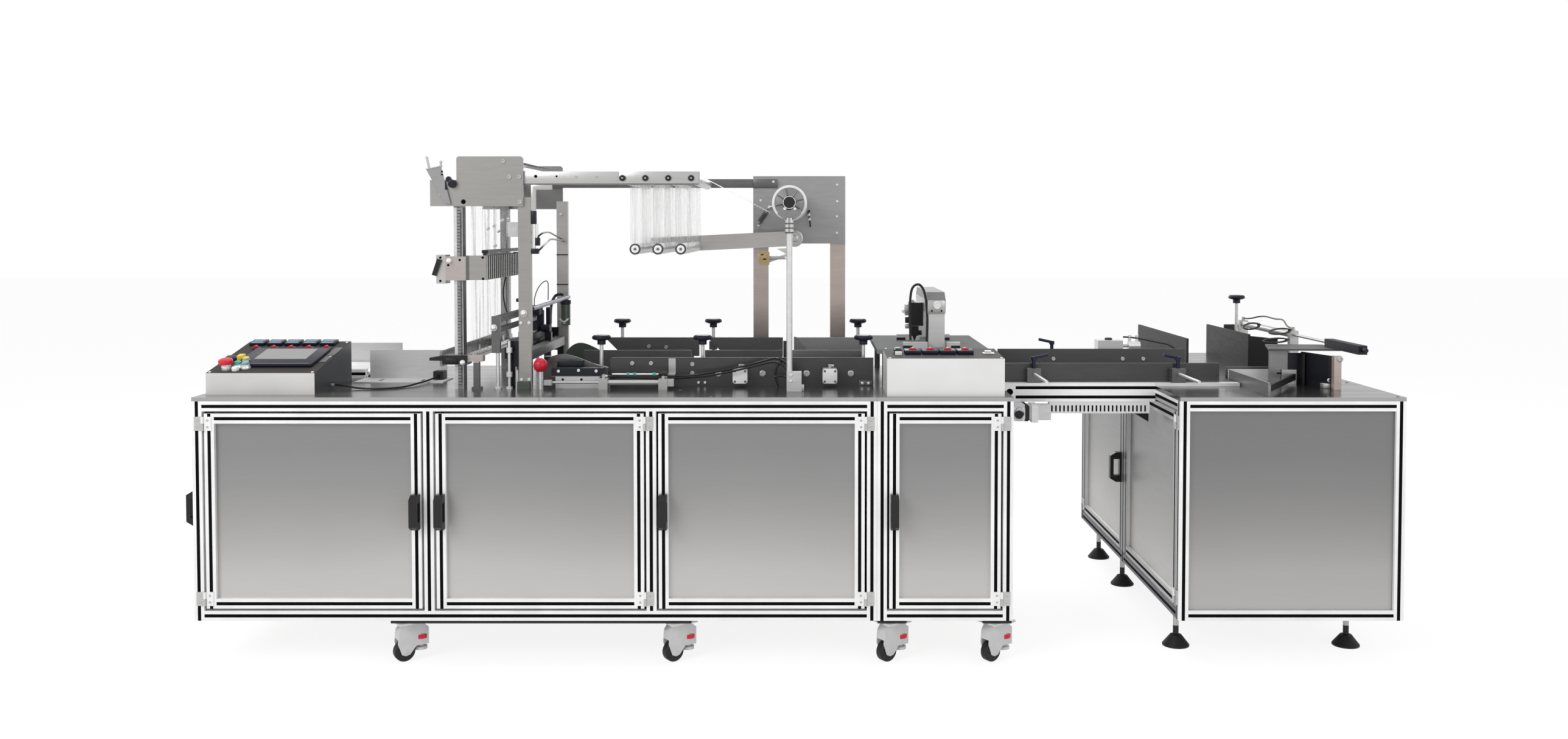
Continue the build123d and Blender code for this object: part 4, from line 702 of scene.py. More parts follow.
def doorTrim():
    # painted shade in the slots of the door rings, a painted shadow in the gap round each door, and the screws
    # in the hinges
    low, high, gap, bar = 172.0, 763.0, 7.0, machine["bar"]
    leaf = {"moving": 11.5, "fixed": 18.5, "proud": 2.5, "levels": (192.0, 212.0, 723.0, 743.0)}
    screw = [(3.6, 0), (3.6, 1.0), (2.6, 1.9), (1.4, 1.9), (1.2, 0.9)]
    shadows, fixedScrews = [], []
    for name, door in doors.items():
        shut = name.startswith("shut")
        body = "machine" if shut else name
        run, across = ("x", "y") if door["way"] == "x" else ("y", "x")
        a, b, at = door["from"], door["to"], door["at"]
        outward = "+x" if at > machine["infeedX"] else "-" + across

        def corner(along, depth, z):
            return (along, depth, z) if run == "x" else (depth, along, z)

        rows = []
        for face in ("-" + across, "+" + across):
            rows += [strip("z", low, high, corner(start, at, 0), face) for start in (a, b - bar)]
            rows += [strip(run, a + bar, b - bar, corner(0, at, z), face) for z in (low, high - bar)]
        addBlocks(name + "SlotLines", "seam", rows, body=body, smooth=0)
        # painted shadow: black strips set behind the gap round each door
        back = (at + 3, at + 5) if outward == "+x" else (at + 25, at + 27)
        for start, end in ((a - gap + 0.3, a - 1.2), (b + 1.2, b + gap - 0.3)):
            shadows.append((corner(start, back[0], low - gap + 0.3), corner(end, back[1], high + gap - 0.3)))
        for start, end in ((low - gap + 0.3, low - 1.2), (high + 1.2, high + gap - 0.3)):
            shadows.append((corner(a, back[0], start), corner(b, back[1], end)))
        hinge = door[door["hinge"]]
        away = 1 if door["hinge"] == "to" else -1
        proud = at + bar + leaf["proud"] if outward == "+x" else at - leaf["proud"]
        moving = [(*corner(hinge - away * leaf["moving"], proud, z), outward) for z in leaf["levels"]]
        fixedScrews += [(*corner(hinge + away * leaf["fixed"], proud, z), outward) for z in leaf["levels"]]
        if shut:
            fixedScrews += moving
        else:
            addTurned(name + "HingeScrews", "steel", screw, 12, moving, body=body)
    addBlocks("doorGapShadows", "seam", shadows, smooth=0)
    addTurned("postHingeScrews", "steel", screw, 12, fixedScrews)


slotLines()
doorTrim()
print("slots and doors")

controlBox = {"x": 14.0, "y": 65.0, "depth": 320.0, "low": 66.0, "high": 135.0}
switchBox = {"x": 2091.0, "y": 20.0, "depth": 230.0, "low": 115.0, "high": 124.0}


def onSlope(box, x, y):
    # where a piece made at the origin goes, x and y from the low front corner of a box's lid
    tilt = math.atan2(box["high"] - box["low"], box["depth"])
    corner = Matrix.Translation(spot(box["x"], box["y"], machine["tableTop"] + box["low"]))
    return corner @ Matrix.Rotation(tilt, 4, "X") @ Matrix.Translation(Vector((x, y, 0)) / 1000)


def addSlopeBlocks(name, finish, box, blocks, rounding=0.0):
    # blocks on the lid, as low and high corners from the same corner
    piece = newBlocks(name, blocks, rounding)
    piece.data.transform(onSlope(box, 0, 0) @ Matrix.Translation(-spot(0, 0, 0)))
    return fit(piece, finish)


def addSlopeTurned(name, finish, box, steps, sides, places, rounding=0.0):
    source = newTurned(name + "Source", steps, sides, rounding)
    copies = [copyAt(source, name + str(n), onSlope(box, *place)) for n, place in enumerate(places)]
    bpy.data.objects.remove(source)
    return fit(joined(name, copies), finish)


def operatorControls():
    panel = {
        "stop": (50, 32), "teal": (78, 50), "blue": (104, 46), "clear": (80, 26), "lamp": (86, 92),
        "selectors": [(52 + 57 * n, 248) for n in range(5)],
    }
    stem = [(14, 0), (14, 13), (12, 14), (12, 21)]
    stop = addSlopeTurned("stopStem", "bright", controlBox, stem, 32, [panel["stop"]], rounding=0.5)
    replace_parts(stop, "panel_controls")
    addSlopeTurned("stopHead", "red", controlBox, [
        (19, 20), (21.5, 22), (21.5, 29), (20, 33), (14, 35.5), (7, 36),
    ], 40, [panel["stop"]], rounding=0.6)
    addSlopeTurned("buttonRings", "bright", controlBox, [
        (14.5, 0), (14.5, 4), (13.5, 6), (11.5, 11), (11.5, 13), (9, 13),
    ], 28, [panel["teal"], panel["blue"], panel["lamp"]], rounding=0.4)
    cap = [(10, 12), (10.5, 13), (10.5, 20), (8, 22), (4, 22.5)]
    for name, tone, place in (
        ("tealButton", "teal", "teal"), ("blueButton", "blue", "blue"), ("lampLens", "cream", "lamp"),
    ):
        addSlopeTurned(name, tone, controlBox, cap, 28, [panel[place]], rounding=0.5)
    addSlopeTurned("clearButton", "pale", controlBox, [
        (11, 0), (11, 8), (9, 12), (6, 12.5),
    ], 24, [panel["clear"]], rounding=0.5)
    addSlopeBlocks(
        "cappedBody", "bezel", controlBox, [((10, 104, 0), (50, 136, 15))], rounding=4.0,
    )
    addSlopeBlocks(
        "yellowCap", "yellow", controlBox, [((50, 106, 3), (70, 132, 21))], rounding=3.0,
    )
    addSlopeTurned("selectorBases", "black_plastic", controlBox, [
        (14, 0), (14, 3), (12, 5), (9, 5.5),
    ], 28, panel["selectors"], rounding=0.4)
    addSlopeTurned("selectorCaps", "red", controlBox, [
        (11, 5), (10.5, 9), (7, 11),
    ], 3, panel["selectors"], rounding=1.2)

    # the controllers' middles, and half the width, the front, back, foot and top of what each one has
    middles = [42 + 57 * n for n in range(5)]
    for name, tone, slot, rounding, (half, front, back, low, high) in (
        ("controllerCases", "bezel", "black_plastic", 1.5, (24.5, 275.5, 319.5, 0, 10)),
        ("controllerWindows", "glass", "black_plastic", 0.4, (18, 290, 313, 9.6, 10.8)),
        ("controllerKeys", "blue", "grey_plastic", 0.4, (19, 279, 287, 9.6, 11.0)),
    ):
        boxes = [((x - half, front, low), (x + half, back, high)) for x in middles]
        addSlopeBlocks(name, tone, controlBox, boxes, rounding=rounding)
    digits = [((x - 13 + 9 * k, 297, 10.6), (x - 8 + 9 * k, 307, 11.1)) for x in middles for k in range(3)]
    addSlopeBlocks("controllerDigits", "display", controlBox, digits)
    screen = {"case": ((66, 53, 0), (303, 222, 12)), "display": ((106, 102, 11.6), (268, 206, 12.5))}
    case = addSlopeBlocks("screenCase", "bezel", controlBox, [screen["case"]], rounding=3.0)
    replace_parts(case, "touch_screen")
    addSlopeBlocks("screenDisplay", "display", controlBox, [screen["display"]])
    # painted highlight: a lighter strip along the screen's lower edge
    addSlopeBlocks("screenLowEdge", "display", controlBox, [((74, 57, 11.7), (295, 59, 12.6))])
    lidScrew = [(4.4, 0), (4.4, 1.2), (3.0, 2.4), (1.2, 2.4)]
    lids = [(9, 8), (323, 8), (9, 312), (323, 312), (323, 160)]
    addSlopeTurned("operatorLidScrews", "bright", controlBox, lidScrew, 16, lids)
    flange = [((306, 170, 0), (331, 252, 3.0)), ((306, 104, 0), (327, 168, 2.0))]
    addSlopeBlocks("lidFlange", "low", controlBox, flange, rounding=0.8)
    lids = [(9, 8), (346, 8), (9, 222), (346, 222)]
    addSlopeTurned("switchLidScrews", "bright", switchBox, lidScrew, 16, lids)


def switchControls():
    modules = {
        "first": 85, "pitch": 54, "y": 110, "half": (25, 26), "thick": 13, "rocker": (28, 51),
        "latch": (302, 338),
    }
    places = [(modules["first"] + modules["pitch"] * n, modules["y"]) for n in range(4)]
    halfX, halfY = modules["half"]
    cases, edges = [], []
    for x, y in places:
        cases.append(((x - halfX, y - halfY, 0), (x + halfX, y + halfY, modules["thick"])))
        edges.append(((x - halfX + 1, y + halfY - 3, 12), (x + halfX - 1, y + halfY - 1, 13.4)))
    addSlopeBlocks("switchCases", "bezel", switchBox, cases, rounding=2.0)
    addSlopeBlocks("switchCaseEdges", "teal", switchBox, edges, rounding=0.4)
    a, b = modules["rocker"]
    rocker = [((a, 86, 0), (b, 134, 16)), ((a + 3, 92, 15), (b - 3, 128, 19))]
    addSlopeBlocks("rockerCase", "black_plastic", switchBox, rocker, rounding=1.5)
    addSlopeBlocks(
        "rockerFoot", "pale", switchBox, [((a + 1, 74, 0), (b - 1, 85.6, 11))], rounding=1.0,
    )
    addSlopeTurned("switchKnobs", "red", switchBox, [
        (15, 12.5), (15, 15), (13, 18), (9, 19),
    ], 3, places, rounding=1.5)
    grips = [((x - 1.4, y - 8, 18.4), (x + 1.4, y + 3, 20.4)) for x, y in places]
    addSlopeBlocks("switchPointers", "pale", switchBox, grips, rounding=0.6)
    a, b = modules["latch"]
    latch = [((a, 96, 0), (b, 118, 4)), ((a + 6, 100, 4), (a + 26, 112, 11))]
    addSlopeBlocks("lidLatch", "bright", switchBox, latch, rounding=1.5)


operatorControls()
switchControls()
print("controls")


def headPieces():
    # the faces that the screws stand on: the bracket's, the stop plate's and the bar's
    front, plateFace, barFace = 192.0, 184.0, 200
    addTurned(
        "headBolts", "silver", [(7.2, 0), (7.2, 2.6), (6.4, 3.4), (3.9, 3.4), (3.5, 0.8)], 24,
        {front: [(896.7, 1530.1), (915.7, 1481.2), (946.7, 1481.2), (948.5, 1401.9)]},
    )
    addTurned("headScrews", "steel", [
        (4.0, 0), (4.0, 1.6), (3.0, 2.6), (1.5, 2.6), (1.3, 1.0),
    ], 16, {
        front: [(698.2, 1425.0)], barFace: [(1123.8, 1481.5), (1188, 1482)],
    })
    # painted shade: black discs on the faces stand for the dark insides of a hole, a bore and the stop plate's
    # holes
    addTurned("headHole", "seam", [
        (7.4, 0), (7.4, 0.5), (6.8, 0.9), (3.0, 0.9),
    ], 24, {front: [(771.3, 1402.9)]})
    addTurned("barBore", "seam", [
        (5.0, 0), (5.0, 0.5), (4.2, 0.8),
    ], 18, {barFace: [(996.8, 1482.8)]})
    addTurned("stopPlateHoles", "seam", [(3.2, 0), (3.2, 0.5), (2.6, 0.8)], 14, {
        plateFace: [(707.4, 1497.0), (707.3, 1488.0)], barFace: [(1062.4, 1482.8)],
    })
    addTurned("headCollarRings", "deepSteel", [
        (12.4, 0), (12.4, 1.6), (10.6, 2.4), (8.2, 2.4), (7.6, 0.6), (3.4, 0.6), (3.2, 3.0),
    ], 28, {181: [(739, 1459)]})
    addTurned("stopStud", "silver", [
        (4.6, 0), (4.6, 5), (3.0, 6), (3.0, 12), (4.4, 13), (4.4, 17), (2.6, 19),
    ], 18, [(703, 188, 1512, "+z")])
    addPlate("guideBlade", "silver", [
        (663, 1506), (672, 1506), (664, 1544), (655, 1544),
    ], 186.2, 188.0)
    addPlate("topWedge", "low", [(893, 1531.3), (893, 1540.4), (987, 1517.4)], 492, 508)
    addPlate("stopPlateFold", "silver", [
        (657, 1503), (706, 1513.6), (705.4, 1516), (656.4, 1505.4),
    ], 182.6, 192)
    addBlocks("headCylinderEnds", "deepSteel", [
        ((981, 202, 1333), (996, 219, 1375)), ((981, 200, 1239), (1003, 221, 1256)),
        ((993, 204, 1265), (1007, 218, 1290)),
    ], rounding=1.5)
    addRods("headCylinderTubes", "bright", [
        (5.6, (988.5, 210, 1255), (988.5, 210, 1334)), (3.2, (999, 208, 1289), (999, 208, 1334)),
    ], 20)
    routes = [
        [
            (1001.7, 206, 1282), (1000, 203, 1291), (1013, 214, 1305), (1012, 320, 1308), (984, 500, 1303),
            (954.6, 819, 1282.4),
        ],
        [
            (1001.5, 206, 1247.6), (1006, 202, 1251), (1014, 216, 1262), (1010, 320, 1276), (984, 500, 1287),
            (966, 819, 1272),
        ],
    ]
    tubes = [meshed(newWire("headHose" + str(number), route, 3.0)) for number, route in enumerate(routes)]
    fit(joined("headHoses", tubes), "hose")


# the flat bars over the tower and unwind, each block from its low corner to its high corner
bars = {
    "front": [((900, 200, 1456), (1512, 208, 1498)), ((1260, 194, 1456), (1508, 200, 1498))],
    "rear": [((900, 832, 1466), (1741, 840, 1498)), ((1652, 827, 1470), (1740, 832, 1498))],
    "leg": [(981.6, 1457), (1048, 1457), (1048, 1441), (996.5, 1441), (996.5, 1376), (981.6, 1376)],
    "edge": [((900, 199.2, 1456.4), (1259, 200, 1460)), ((1261, 193.4, 1456.4), (1507, 194, 1460))],
    "bolts": [(1270 + 72 * n, 194, 1477, "-y") for n in range(4)],
}


def barPieces():
    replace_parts(addBlocks("frontBar", "silver", bars["front"], rounding=0.8), "roller_bars")
    addPlate("barLeg", "silver", bars["leg"], 200, 208, rounding=0.8)
    addBlocks("rearBar", "low", bars["rear"], rounding=0.8)
    addBlocks("barLowEdges", "low", bars["edge"], smooth=0)
    addTurned("rollerWashers", "black_plastic", [
        (9.6, 0), (9.6, 4.6), (8.2, 5.2), (3.6, 5.2), (3.4, 3.2),
    ], 24, bars["bolts"])
    addTurned("rollerPoints", "silver", [(2.6, 3), (2.6, 5.6), (1.6, 6.2)], 12, bars["bolts"])


# air hoses: each one's radius, and the points it runs through
hoses = {
    "guideFront": (
        3.0,
        (1220, 200, 853), (1262, 200, 853), (1335, 222, 843), (1425, 225, 843), (1520, 225, 848),
        (1610, 228, 864), (1698, 230, 886), (1758, 230, 900), (1799, 228, 856), (1799, 228, 812),
    ),
    "guideRear": (
        3.0,
        (1408, 200, 853), (1448, 200, 853), (1520, 234, 856), (1610, 237, 872), (1700, 239, 894),
        (1762, 239, 912), (1809, 236, 860), (1809, 236, 812),
    ),
    "bundleA": (3.0, (1759, 244, 908), (1778, 246, 904), (1738, 248, 861), (1758, 250, 813)),
    "bundleB": (3.0, (1745, 246, 846), (1772, 242, 852), (1790, 240, 838), (1800, 240, 813)),
    "pusher": (
        3.0,
        (3570, 715, 965), (3570, 762, 965), (3595, 862, 987), (3600, 962, 979), (3592, 1066, 987),
        (3570, 1168, 965), (3570, 1215, 965),
    ),
    "jawLoop": (
        1.6,
        (886, 700, 1002), (880, 700, 1053), (890, 700, 1098), (909.5, 700, 1127), (929, 700, 1136.6),
        (934, 700, 1117.5), (931.5, 700, 1066),
    ),
    "jawHose": (
        5.0, (928, 760, 979), (927.5, 760, 1034), (939, 760, 1073), (958, 762, 1086), (974, 764, 1081),
    ),
    "jawCable": (
        2.6, (831, 520, 1174.5), (818, 520, 1132), (815, 520, 1089), (824, 520, 1046), (830, 520, 1033),
    ),
    "driveLead": (
        3.0, (2965, 690, 936), (3010, 690, 934), (3080, 690, 918), (3140, 690, 908), (3158, 690, 880),
    ),
}
# loose coils of hose: radius, left and right side, y, and lowest and highest point; then how they wind
coils = {
    "infeedCoilA": (2.6, 3393, 3454, 700, 960, 986), "infeedCoilB": (2.6, 3448, 3527, 600, 951, 974),
    "infeedCoilC": (2.6, 3376, 3462, 450, 936, 952),
}
winding = {"points": 25, "perTurn": 12, "tighter": 3, "deep": 16, "drift": 0.5, "lean": 0.5, "flatter": 0.8}


def hosePieces():
    for name, (radius, *points) in hoses.items():
        hose = newWire(name, points, radius)
        hose.data.resolution_u = 5
        fit(meshed(hose), "hose")
        if name == "guideFront":
            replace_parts(bpy.data.objects[name], "air_hoses")
    for name, (radius, left, right, y, low, high) in coils.items():
        points = []
        for n in range(winding["points"]):
            turn = math.tau * n / winding["perTurn"]
            reach = (right - left) / 2 - winding["tighter"] * (n // winding["perTurn"])
            rise = (high - low) / 2
            points.append((
                (left + right) / 2 + reach * math.cos(turn),
                y + winding["deep"] * math.sin(turn) + n * winding["drift"],
                (low + high) / 2 + rise * math.sin(turn + winding["lean"]) * winding["flatter"],
            ))
        fit(meshed(newWire(name, points, radius)), "hose")


# the marks on the ruler columns, left out where the clamp covers them
ruler = {
    "faces": (199.5, 840.0), "left": 748.5, "low": 826, "step": 10, "marks": 62, "every": 5, "long": 12.5,
    "short": 8.5, "half": 0.8, "thick": 0.5, "clamp": (1146, 1236),
}


def towerPieces():
    ticks = []
    left, half, (clampLow, clampHigh) = ruler["left"], ruler["half"], ruler["clamp"]
    for y in ruler["faces"]:
        for n in range(ruler["marks"]):
            z = ruler["low"] + ruler["step"] * n
            reach = ruler["long"] if n % ruler["every"] == 0 else ruler["short"]
            if z < clampLow or z > clampHigh:
                ticks.append(((left, y, z - half), (left + reach, y + ruler["thick"], z + half)))
    addBlocks("rulerTicks", "seam", ticks, smooth=0)
    addTurned(
        "towerDomes", "bright",
        [(10.5, 0), (10.5, 2.2), (8.6, 2.4), (8.6, 6.5), (7.2, 9.6), (4.2, 11.6), (1.5, 12.2)], 28,
        {200: [(956.1, 1052.1)], 204: [(860.6, 1006.1)]},
    )
    addTurned(
        "columnScrews", "bright", [(5.0, 0), (5.0, 3.0), (4.2, 3.8), (2.6, 3.8), (2.3, 1.2)], 18,
        [
            (947.3, 200, 1021.9, "-y"), (973.0, 200, 1021.9, "-y"), (947.7, 200, 843.0, "-y"),
            (971.7, 200, 843.0, "-y"), (1060.3, 222, 866.5, "-y"), (1124.1, 222, 869.0, "-y"),
            (1180.0, 222, 867.0, "-y"), (957.0, 814, 1370.0, "-y"), (904.0, 598, 961.0, "+z"),
        ],
    )
    # painted shade: black discs stand for the dark insides of the clamp's holes
    addTurned("clampHoles", "seam", [(3.9, 0), (3.9, 0.4), (3.3, 0.7)], 16, {
        188: [
            (698.6, 1227.8), (697.9, 1154.5), (759.2, 1220.3), (722.9, 1204), (831.5, 1227.8), (832.0, 1161.3),
        ],
        225: [(1073.2, 839.8), (1132.5, 839.8)],
    })
    addTurned(
        "leverPivots", "bright", [(8.5, 0), (8.5, 4), (6.5, 6), (6.5, 11), (4.0, 13), (1.5, 13.4)], 22,
        {188: [(725.8, 1217.6)], 174: [(769.4, 898.7)]},
    )
    addBlocks("toggleBody", "black_plastic", [
        ((704, 176, 893), (779, 184, 918)), ((716, 171, 897), (752, 176, 913)),
    ], rounding=2.5)
    addRods("crossRail", "violetSteel", [(7.0, (975, 240, 1064), (979, 838, 1069.6))], 20)
    rings = [((939, 818, z), (981, 820.4, z + 3.2)) for z in (1114, 1222)]
    addBlocks("rearColumnBands", "seam", rings, smooth=0)
    valves = [
        ((900, 560, 1022), (930, 620, 1052)), ((904, 640, 962), (926, 662, 1034)),
        ((936, 640, 962), (952, 662, 1044)), ((930, 592, 961), (958, 632, 986)),
        ((838, 612, 1064), (876, 650, 1076)),
    ]
    addBlocks("jawValves", "bezel", valves, rounding=2.0)
    pins = [(3.2, (880 + 9 * n, 250 + 70 * n, 962), (880 + 9 * n, 250 + 70 * n, 978)) for n in range(3)]
    pins += [(2.6, (742 + 26 * n, 300 + 90 * n, 921), (742 + 26 * n, 300 + 90 * n, 938)) for n in range(2)]
    addRods("jawPins", "bright", pins, 12)
    ribbed = [((763, 792, 1289), (805.6, 806, 1342))]
    ribbed += [((764 + 7 * n, 790.6, 1290), (767 + 7 * n, 792, 1341)) for n in range(6)]
    addBlocks("rearClampFace", "pale", ribbed, rounding=0.6)
    fittings = [(705, 1318), (727, 1328), (743, 1309), (757, 1347), (776, 1351), (730, 1257)]
    ends = [(5.0, (x - 4, 760, z - 3), (x + 5, 764, z + 4)) for x, z in fittings]
    addRods("rearFittings", "bright", ends, 12)
    wings = newPlate("wingNut", [
        (-4, 0), (4, 0), (5, 7), (15, 15), (18, 21), (13, 21), (4, 12), (0, 13), (-4, 12), (-13, 21), (-18, 21),
        (-15, 15), (-5, 7),
    ], -2, 2, 0.8)
    wings.data.transform(Matrix.Translation(spot(972, 781, 974) - spot(0, 0, 0)))
    fit(wings, "bright")
    ribs = [((840, 203 + 25.6 * n, 1160), (841.6, 203 + 25.6 * n + 5.5, 1232)) for n in range(25)]
    addBlocks("combRibs", "silver", ribs, smooth=0)


# the roll's centre and front face, the radii at its end, and how many spokes and lobes it has
roll = {
    "x": 1794, "z": 1400, "face": 195, "ring": (54.8, 47.0), "disc": 46.5, "spokes": (24.0, 44.0),
    "spokeCount": 8, "knob": 23.0, "lobe": 6.2, "lobeCount": 7,
}
dancer = {"first": 1306, "pitch": 72, "face": 215, "z": 1254, "hub": {786: [(1804, 1283)]}}


def roundRoll(radius, turn):
    return roll["x"] + radius * math.cos(turn), roll["z"] + radius * math.sin(turn)


def filmPieces():
    centre = {roll["face"]: [(roll["x"], roll["z"])]}
    outer, inner = roll["ring"]
    addTurned("rollRim", "white", [
        (outer, -1), (outer, 3.4), (inner, 3.4), (inner - 0.5, -1),
    ], 64, centre, body="film_roll", rounding=0.3)
    addTurned("rollDisc", "grey_plastic", [
        (roll["disc"], 0), (roll["disc"], 1.2), (20, 1.6), (19, 6), (17, 6.4),
    ], 56, centre, body="film_roll", rounding=0.2)
    spokes = []
    for n in range(roll["spokeCount"]):
        turn = math.tau * (n + 0.3) / roll["spokeCount"]
        (x0, z0), (x1, z1) = [roundRoll(radius, turn) for radius in roll["spokes"]]
        spokes.append((2.2, (x0, roll["face"] - 1.6, z0), (x1, roll["face"] - 1.6, z1)))
    addRods("rollSpokes", "low", spokes, 8, body="film_roll")
    addTurned("rollKnob", "black_plastic", [
        (20.6, 0), (20.6, 42), (18, 45), (9, 46.5),
    ], 28, centre, body="film_roll", rounding=1.0)
    count, reach = roll["lobeCount"], roll["knob"] - roll["lobe"]
    addTurned("rollLobes", "black_plastic", [
        (roll["lobe"], 22), (roll["lobe"], 42), (4.6, 44.4), (2, 45),
    ], 14, {roll["face"]: [roundRoll(reach, math.tau * n / count) for n in range(count)]},
        body="film_roll", rounding=0.8)
    places = {dancer["face"]: [(dancer["first"] + dancer["pitch"] * n, dancer["z"]) for n in range(3)]}
    addTurned("dancerTyres", "dark_metal", [
        (17.6, -1), (17.6, 1.6), (15.6, 2.4), (12.8, 2.4), (12.4, 0.2),
    ], 32, places, body="dancer")
    addTurned("dancerCaps", "pale", [
        (12.2, 0), (12.2, 1.8), (10.8, 2.6), (7.0, 2.6), (6.6, 1.6), (3.6, 1.6), (3.2, 3.0),
    ], 28, places, body="dancer")
    addTurned("dancerCentres", "low", [(4.4, 2.4), (4.4, 3.4), (3.6, 3.8)], 20, places, body="dancer")
    addTurned("hubCap", "silver", [
        (29, -0.5), (29, 1.6), (26, 2.6), (22, 2.6), (21, 0.8), (13, 0.8), (12.5, 3.0), (8, 4.6), (3, 4.8),
    ], 40, dancer["hub"], body="dancer")


def unwindPieces():
    addTurned(
        "unwindScrews", "bright", [(4.6, 0), (4.6, 1.8), (3.6, 2.8), (1.8, 2.8), (1.5, 1.2)], 16,
        {
            840: [(1957.5, 1477.2), (1957.5, 1417), (1956.2, 1362.1), (1956.3, 1302.5), (1679, 1421.1)],
            827: [(1725.8, 1488)], 145: [(1798.4, 862), (1798.4, 844)], 149.8: [(1779.5, 1380), (1811.4, 1380)],
        },
    )
    # the spring's wire: its turns, the points in each, its radius and its two ends
    count, points, radius, start, end = 9, 8, 9, Vector((1676, 806, 1343)), Vector((1700, 806, 1376))
    along = end - start
    side = Vector((along.z, 0, -along.x)).normalized()
    coil = []
    for n in range(count * points + 1):
        turn = math.tau * n / points
        middle = start + along * (n / (count * points))
        coil.append(tuple(middle + side * radius * math.cos(turn) + Vector((0, radius * math.sin(turn), 0))))
    route = [(1672, 806, 1331), (1673, 806, 1337), *coil, (1703, 806, 1386), (1711, 806, 1396)]
    fit(meshed(newWire("dancerSpring", route, 1.5, 2)), "low")
    addRods("springArms", "bright", [
        (4, (1672, 806, 1331), (1672, 840, 1331)), (4.5, (1711, 806, 1398), (1711, 840, 1398)),
        (2.4, (1706, 806, 1392), (1724, 806, 1400)),
    ], 14)
    hook = [
        (1857, 838, 1380), (1857, 830, 1386), (1851, 828, 1380), (1853, 828, 1366), (1858, 828, 1350),
        (1860, 828, 1324),
    ]
    fit(newWire("hookRod", hook, 2.4), "black_rubber")
    addTurned("hookNuts", "steel", [(6, 0), (6, 5), (4, 6)], 6, {831: [(1854, 1368), (1856, 1352)]})
    addTurned("standRings", "low", [
        (13.6, 0), (13.6, 4), (12.9, 4.6), (12.9, 0.6),
    ], 28, [(1794, 160, z, "+z") for z in (1304, 1318, 1332)])
    addBlocks("brassJaw", "brassy", [
        ((1698, 148, 1212), (1703, 172, 1240)), ((1710, 146, 1214), (1722, 150, 1238)),
    ], rounding=0.8)
    # painted shade: thin black blocks stand for the dark inside of the jaw's slot
    addBlocks("brassSlot", "seam", [
        ((1712, 144.6, 1222), (1722, 145.2, 1226)), ((1706, 144.6, 1236), (1714, 145.2, 1239)),
    ], smooth=0)
    addRods("clampLink", "silver", [(4, (1728.7, 165, 1216.3), (1786.3, 165, 1236.7))], 16)
    addPlate("clampPlate", "silver", [(1754.3, 1255.9), (1786.3, 1257.8), (1786.3, 1238.6)], 163, 167)
    addBlocks("standFoot", "silver", [
        ((1820, 146, 812), (1840, 174, 831)), ((1812, 148, 812), (1822, 172, 824)),
    ], rounding=1.5)


# the film between the upper rollers and the dancer's rollers, each sheet in rows
filmRuns = {
    "sheets": 6, "first": 1288.0, "pitch": 36.0, "top": 1477.0, "low": 1254.0, "front": 240.0, "back": 760.0,
    "half": 0.4, "rows": 14, "middle": (1378, 500),
}


def filmLoops():
    runs, sheets = filmRuns, []
    rows, half = runs["rows"], runs["half"]
    levels = [runs["low"] + (runs["top"] - runs["low"]) * n / rows for n in range(rows + 1)]
    for n in range(runs["sheets"]):
        x = runs["first"] + runs["pitch"] * n
        outline = [(x - half, z) for z in levels] + [(x + half, z) for z in reversed(levels)]
        sheets.append(newPlate("filmSheet" + str(n), outline, runs["front"], runs["back"]))
    piece = joined("filmLoops", sheets)
    piece.data.materials.clear()
    piece.data.materials.append(finishes["film"].material)
    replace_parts(piece, "film_loops")
    top, low = [tuple(spot(*runs["middle"], z)) for z in (runs["top"], runs["low"])]
    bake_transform(piece)


headPieces()
barPieces()
hosePieces()
towerPieces()
filmPieces()
filmLoops()
unwindPieces()
print("tower and unwind")


